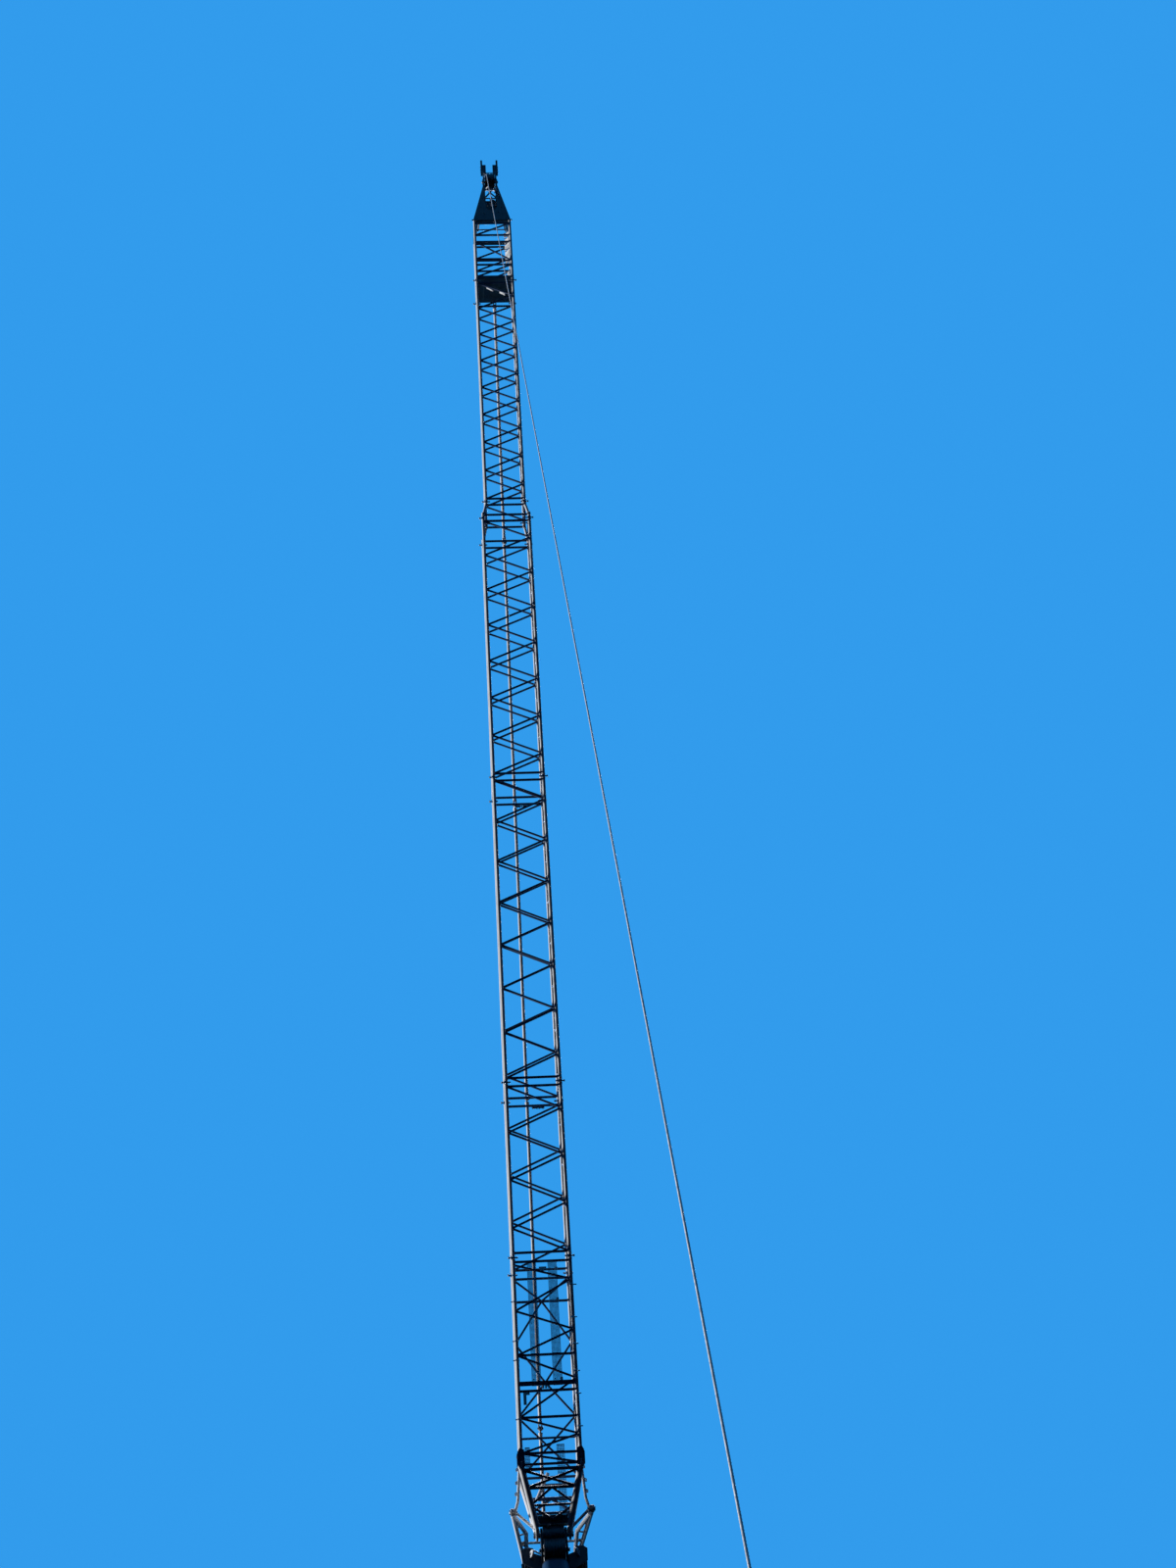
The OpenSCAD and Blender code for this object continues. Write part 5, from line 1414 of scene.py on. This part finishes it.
class JIB_OT_hoist(Operator):
    """Builds the stranded hoist rope with its wrap on the sheave, the ball weight and the hook"""

    bl_idname = "jib.hoist"
    bl_label = "Hoist line"

    def execute(self, context):
        s = sizes()
        place, r = line_place()
        shape = Shape(place)
        step = 3.3 * MM
        count = int(s.rope_fall / step)
        points = [(0, 0, -s.rope_fall + i * s.rope_fall / count) for i in range(count)]
        points += [(0, r - r * cos(t), r * sin(t)) for t in (WRAP * k / 40 for k in range(41))]
        shape.swept(points, s.rope * 1.03, 12, lobes=6, lay=26 * MM, dip=0.16)
        make(shape, "hoist_rope_strands", "rope_steel", ["hoist_rope"], body="hoist_line")
        self.weight(place, s)
        self.hook(place, s)
        return {"FINISHED"}

    def weight(self, place, s):
        """The ball weight: two halves with a seam, a neck with a rope socket and a swivel below."""
        shape = Shape(place @ Matrix.Translation((0, 0, -s.rope_fall - WEIGHT_D / 2 - SOCKET)))
        r = WEIGHT_D / 2
        ball = [(r * sin(t), r * cos(t)) for t in (radians(-80 + 8 * k) for k in range(20))]
        profile = [(-r, 0.0015)]
        profile += [(at, radius - 0.6 * MM if abs(at) < 0.002 else radius) for at, radius in ball]
        profile += [(r - 0.0005, 0.0085), (r + 0.002, 0.0082), (r + 0.0045, 0.0052),
                    (r + 0.008, 0.0040), (r + 0.008, 0.0005)]
        shape.turned((0, 0, 0), Z, profile, 48)
        for k in range(4):
            t = pi / 4 + pi / 2 * k
            shape.bolt((0.020 * cos(t), 0.020 * sin(t), 0.0128), Z, 2.4 * MM)
        make(shape, "ball_weight", "weight_paint", ["hoist_weight"], body="hoist_line")

    def hook(self, place, s):
        """A forged hook: round shank with a nut, thick bowl tapering to its point, and a latch."""
        r = 0.014
        shape = Shape(place @ Matrix.Translation((0, 0, -s.rope_fall - WEIGHT_D - SOCKET - SHANK - r)))
        n, rings = 44, []
        for k in range(n + 1):
            t, part = radians(90 + 270 * k / n), k / n
            d = HOOK_D * (1.0 - 0.10 * part if k < n * 0.7 else 0.93 - 0.75 * (part - 0.7))
            at, out = Vector((0, cos(t) * r, sin(t) * r)), Vector((0, cos(t), sin(t)))
            rings.append([at + (Vector(X) * cos(q) * 0.92 + out * sin(q)) * d / 2
                          for q in (2 * pi * i / 18 for i in range(18))])
        shape.rings(rings)
        shape.turned((0, 0, r - 0.001), Z,
                     [(0, HOOK_D / 2), (0.010, HOOK_D / 2), (0.0105, 0.0062), (0.0165, 0.0062),
                      (0.018, 0.0050), (0.019, 0.0050)], 24)
        shape.turned((0, 0.0105, 0.0085), (0, 0.20, -0.95), [(0, 0.0011), (0.0085, 0.0011)], 10)
        make(shape, "forged_hook", "hook_paint", ["hook"], body="hoist_line")


# ---------------------------------------------------------------- boom head


BOOM_W, BOOM_H, BOOM_L, BASE_T, BASE_RIM = 0.080, 0.104, 0.270, 0.014, 0.020
DECK_Z = BASE_T + BOOM_L
CHEEK_T, PACK_D, PACK_N = 0.006, 0.066, 7
PACK_PITCH = (BOOM_W - 2 * CHEEK_T - 4 * MM) / PACK_N
GUIDE_D, GUIDE_N = 0.052, 6
GUIDE_PITCH = (BOOM_W - 2 * CHEEK_T - 2 * MM) / GUIDE_N
SIDE_X, SIDE_Y, SIDE_D = 0.050, 0.004, 0.019
SIDE_BRACKET = ((0.038, -0.006), (0.058, -0.006), (0.098, 0.024), (0.100, 0.072), (0.088, 0.084),
                (0.064, 0.082), (0.062, 0.060), (0.038, 0.048))
COATED = (("boom_box", "boom_paint"), ("boom_head", "head_black"), ("base_plate", "head_black"),
          ("boom_head_axle", "pin_steel"), ("jib_pivot_pin", "pin_steel"))


def middle(node):
    """The y and z of a node's middle."""
    lo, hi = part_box(node)
    return (lo.y + hi.y) / 2, (lo.z + hi.z) / 2


class JIB_OT_boom(Operator):
    """Dresses the stub of boom, its head and sheave pack, and the plate that closes it"""

    bl_idname = "jib.boom"
    bl_label = "Boom head"

    def execute(self, context):
        for node, slot in COATED:
            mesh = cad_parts[node].data
            mesh.materials.clear()
            mesh.materials.append(finishes()[slot])
        self.sheave_row("boom_sheave_wheels", "boom_head_sheaves", "boom_sheaves", ["boom_head_sheaves"],
                        PACK_N, PACK_PITCH, PACK_D, AXLE_D, 2 * MM)
        self.sheave_row("pin_guide_sheaves", "jib_pivot_pin", "boom", (),
                        GUIDE_N, GUIDE_PITCH, GUIDE_D, PIVOT_BORE, 1.6 * MM)
        self.bolts()
        self.ribs()
        self.side_brackets()
        return {"FINISHED"}

    def sheave_row(self, name, node, body, replaces, count, pitch, d, bore, groove):
        """Sheaves side by side about the middle of a node."""
        shape = Shape()
        y, z = middle(node)
        for i in range(count):
            sheave(shape, ((i - (count - 1) / 2) * pitch, y, z), d, pitch - SHEAVE_GAP, bore, groove)
        make(shape, name, "sheave_iron", replaces, body=body)

    def side_brackets(self):
        """Brackets on both sides of the boom head, and the tubes that run down beside the boom."""
        tubes, plates = Shape(), Shape()
        r = SIDE_D / 2
        for side in BOTH:
            x = side * SIDE_X
            tubes.turned((x, SIDE_Y, BASE_T), Z, [(0, r + 2 * MM), (4 * MM, r + 2 * MM), (5 * MM, r),
                                                  (BOOM_L + 0.022, r)], 28)
            plates.turned((x, SIDE_Y, DECK_Z + 0.016), Z,
                          [(0, r - MM), (MM, r + MM), (0.031, r + MM), (0.033, r - MM)], 24)
            for y in (-0.022, 0.030):
                plates.plate(SIDE_BRACKET, 4 * MM, (0, y, DECK_Z), (side, 0, 0), Z,
                             [circle(9 * MM, (0.072, 0.046), 16)])
            plates.block((side * 0.088, SIDE_Y, DECK_Z + 0.044), (4 * MM, 0.048, 0.040))
            ring(tubes, (side * 0.0695, -0.031, DECK_Z + 0.050), (side * 0.88, -0.47, 0), 9 * MM, 0.026,
                 5 * MM)
            plates.turned((side * 0.072, -0.026, DECK_Z + 0.046), Y, [(0, 4.4 * MM), (0.060, 4.4 * MM)], 18)
            plates.block((side * 0.060, SIDE_Y, DECK_Z + 0.020), (0.044, 0.048, 4 * MM))
            for y in (-0.012, 0.020):
                plates.bolt((side * 0.074, y, DECK_Z + 0.018), DOWN, 2.4 * MM)
        make(tubes, "boom_side_tubes", "lattice_paint", body="boom")
        make(plates, "boom_head_brackets", "head_black", (), 0.4 * MM, body="boom")

    def bolts(self):
        """Bolts round the base plate and keeper plates on the ends of the pins."""
        shape = Shape()
        x, y = BOOM_W / 2 + BASE_RIM / 2, BOOM_H / 2 + BASE_RIM / 2
        spots = [(sx * x, j * y / 2.5) for sx in BOTH for j in (-2, -1, 0, 1, 2)]
        spots += [(i * x / 2, sy * y) for sy in BOTH for i in (-1, 0, 1)]
        for p in spots:
            shape.bolt((*p, BASE_T), Z, 4.5 * MM)
        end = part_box("jib_pivot_pin")[1].x
        y, z = middle("jib_pivot_pin")
        for side in BOTH:
            shape.turned((side * (end - 0.0012), y, z), (side, 0, 0),
                         [(0, 0.0105), (0.0016, 0.0105), (0.002, 0.009)], 28)
            for t in (2 * pi * k / 3 for k in range(3)):
                shape.bolt((side * (end + 0.0008), y + 0.0055 * cos(t), z + 0.0055 * sin(t)), (side, 0, 0),
                           1.8 * MM)
        make(shape, "boom_bolts", "pin_steel", body="boom")

    def ribs(self):
        """Stiffeners on the deck and the cheeks of the boom head."""
        shape = Shape()
        for x in (-0.022, 0.0, 0.022):
            shape.plate([(0.0, 0.0), (0.044, 0.0), (0.044, 0.024), (0.030, 0.024)], 3 * MM,
                        (x, SIDE_Y, DECK_Z + 0.006), Y, Z)
        for side in BOTH:
            shape.block((side * (BOOM_W / 2 - 0.0105), 0.020, DECK_Z + 0.0155), (0.009, 0.005, 0.019))
        for y in (-0.0300, 0.0495):
            shape.block((0, y, DECK_Z + 0.0078), (BOOM_W - 0.016, 0.004, 0.004))
        make(shape, "boom_head_ribs", "head_black", (), 0.4 * MM, body="boom")


# ---------------------------------------------------------------- stage


KEY_FROM, KEY_TONE = (-0.970, 0.200, 0.115), (1.0, 0.995, 0.99)
TOP_FROM, TOP_TONE, TOP_SIZE = (0.064, 0.401, 0.914), (0.93, 0.96, 1.0), radians(24)
FLOOR_D, FLOOR_T, FLOOR_Y = 120.0, 0.02, -1.5
CAMERA_AT, LENS, SENSOR = (-0.2424, -4.6982, -4.5702), 48.80, 36.0
CAMERA_AXES = ((0.99756, 0.00014, -0.06980), (0.02815, -0.91591, 0.40040), (-0.06388, -0.40139, -0.91368))


class JIB_OT_stage(Operator):
    """Makes the floor, the backdrop colour, the soft lights and the camera at the photo's place"""

    bl_idname = "jib.stage"
    bl_label = "Stage"

    def execute(self, context):
        t = context.scene.jib_stage
        context.scene.view_settings.view_transform = "Standard"
        self.world(context, t)
        self.floor(t)
        self.lamp("key", t.key, t.key_size, KEY_TONE, KEY_FROM)
        self.lamp("top", t.top, TOP_SIZE, TOP_TONE, TOP_FROM)
        self.camera(context)
        return {"FINISHED"}

    def world(self, context, t):
        """The backdrop for what the camera, gloss and glass see, and a weak light for the rest."""
        world = bpy.data.worlds.new("studio")
        context.scene.world = world
        world.use_nodes = True
        nodes, links = world.node_tree.nodes, world.node_tree.links
        nodes.clear()
        out = nodes.new("ShaderNodeOutputWorld")
        seen, light = nodes.new("ShaderNodeBackground"), nodes.new("ShaderNodeBackground")
        seen.inputs["Color"].default_value = (*t.backdrop, 1)
        light.inputs["Color"].default_value = (*t.fill_colour, 1)
        light.inputs["Strength"].default_value = t.fill
        path = nodes.new("ShaderNodeLightPath")
        factor = path.outputs["Is Camera Ray"]
        for ray in ("Is Glossy Ray", "Is Transmission Ray"):
            either = nodes.new("ShaderNodeMath")
            either.operation = "MAXIMUM"
            links.new(factor, either.inputs[0])
            links.new(path.outputs[ray], either.inputs[1])
            factor = either.outputs[0]
        mix = nodes.new("ShaderNodeMixShader")
        for source, socket in ((factor, mix.inputs["Fac"]), (light.outputs[0], mix.inputs[1]),
                               (seen.outputs[0], mix.inputs[2]), (mix.outputs[0], out.inputs["Surface"])):
            links.new(source, socket)

    def floor(self, t):
        """A wide matt disc, pale to the camera, which throws no light back onto the jib."""
        shape = Shape()
        shape.plate(circle(FLOOR_D, (0, 0), 64), FLOOR_T, (0, FLOOR_Y, t.floor_z - FLOOR_T / 2), X, Y)
        mesh = bpy.data.meshes.new("floor")
        mesh.from_pydata([tuple(v) for v in shape.verts], [], shape.faces)
        n = Nodes("floor paint")
        n.level("Roughness", 0.9)
        n.level("Specular IOR Level", 0.0)
        seen = n.ramp(n.noise(0.6, 3.0), [(0.3, shade(tuple(t.floor), 0.97)), (0.7, tuple(t.floor))])
        camera_ray = n.node("ShaderNodeLightPath").outputs["Is Camera Ray"]
        n.to(n.mix(camera_ray, (0.0, 0.0, 0.0), seen), "Base Color")
        mesh.materials.append(n.material)
        obj = bpy.data.objects.new("floor", mesh)
        bpy.context.scene.collection.objects.link(obj)

    def lamp(self, name, strength, size, tone, towards):
        data = bpy.data.lights.new(name, "SUN")
        data.energy, data.angle, data.color = strength, size, tone
        obj = bpy.data.objects.new(name, data)
        obj.rotation_mode = "QUATERNION"
        obj.rotation_quaternion = Vector(towards).to_track_quat("Z", "Y")
        bpy.context.scene.collection.objects.link(obj)

    def camera(self, context):
        data = bpy.data.cameras.new("camera")
        data.lens, data.sensor_width = LENS, SENSOR
        data.clip_start, data.clip_end = 0.1, 200.0
        obj = bpy.data.objects.new("camera", data)
        turn = Matrix(CAMERA_AXES).transposed()
        obj.matrix_world = Matrix.Translation(CAMERA_AT) @ turn.to_4x4()
        context.scene.collection.objects.link(obj)
        context.scene.camera = obj


# ---------------------------------------------------------------- panel and start


# The building steps, in the order in which they run.
STEPS = (JIB_OT_stage, JIB_OT_sections, JIB_OT_slim_sections, JIB_OT_butt, JIB_OT_gratings,
         JIB_OT_pins, JIB_OT_pendant, JIB_OT_a_frame, JIB_OT_head, JIB_OT_sheaves, JIB_OT_hoist,
         JIB_OT_boom)
GROUPS = (("jib_sizes", JibSizes), ("jib_finishes", JibFinishes), ("jib_stage", StageSetting))


class JIB_PT_panel(Panel):
    """Sizes, colours and building steps of the jib"""

    bl_idname = "JIB_PT_panel"
    bl_label = "Lattice jib"
    bl_space_type = "VIEW_3D"
    bl_region_type = "UI"
    bl_category = "Jib"

    def draw(self, context):
        for name, group in GROUPS:
            box = self.layout.box()
            for prop in group.__annotations__:
                box.prop(getattr(context.scene, name), prop)
        for step in STEPS:
            self.layout.operator(step.bl_idname)


def register():
    for name, group in GROUPS:
        bpy.utils.register_class(group)
        setattr(bpy.types.Scene, name, PointerProperty(type=group))
    for cls in (*STEPS, JIB_PT_panel):
        bpy.utils.register_class(cls)


def unregister():
    for cls in (JIB_PT_panel, *reversed(STEPS)):
        bpy.utils.unregister_class(cls)
    for name, group in reversed(GROUPS):
        delattr(bpy.types.Scene, name)
        bpy.utils.unregister_class(group)


def main():
    register()
    for step in STEPS:
        group, name = step.bl_idname.split(".")
        getattr(getattr(bpy.ops, group), name)()


if __name__ == "__main__":
    main()
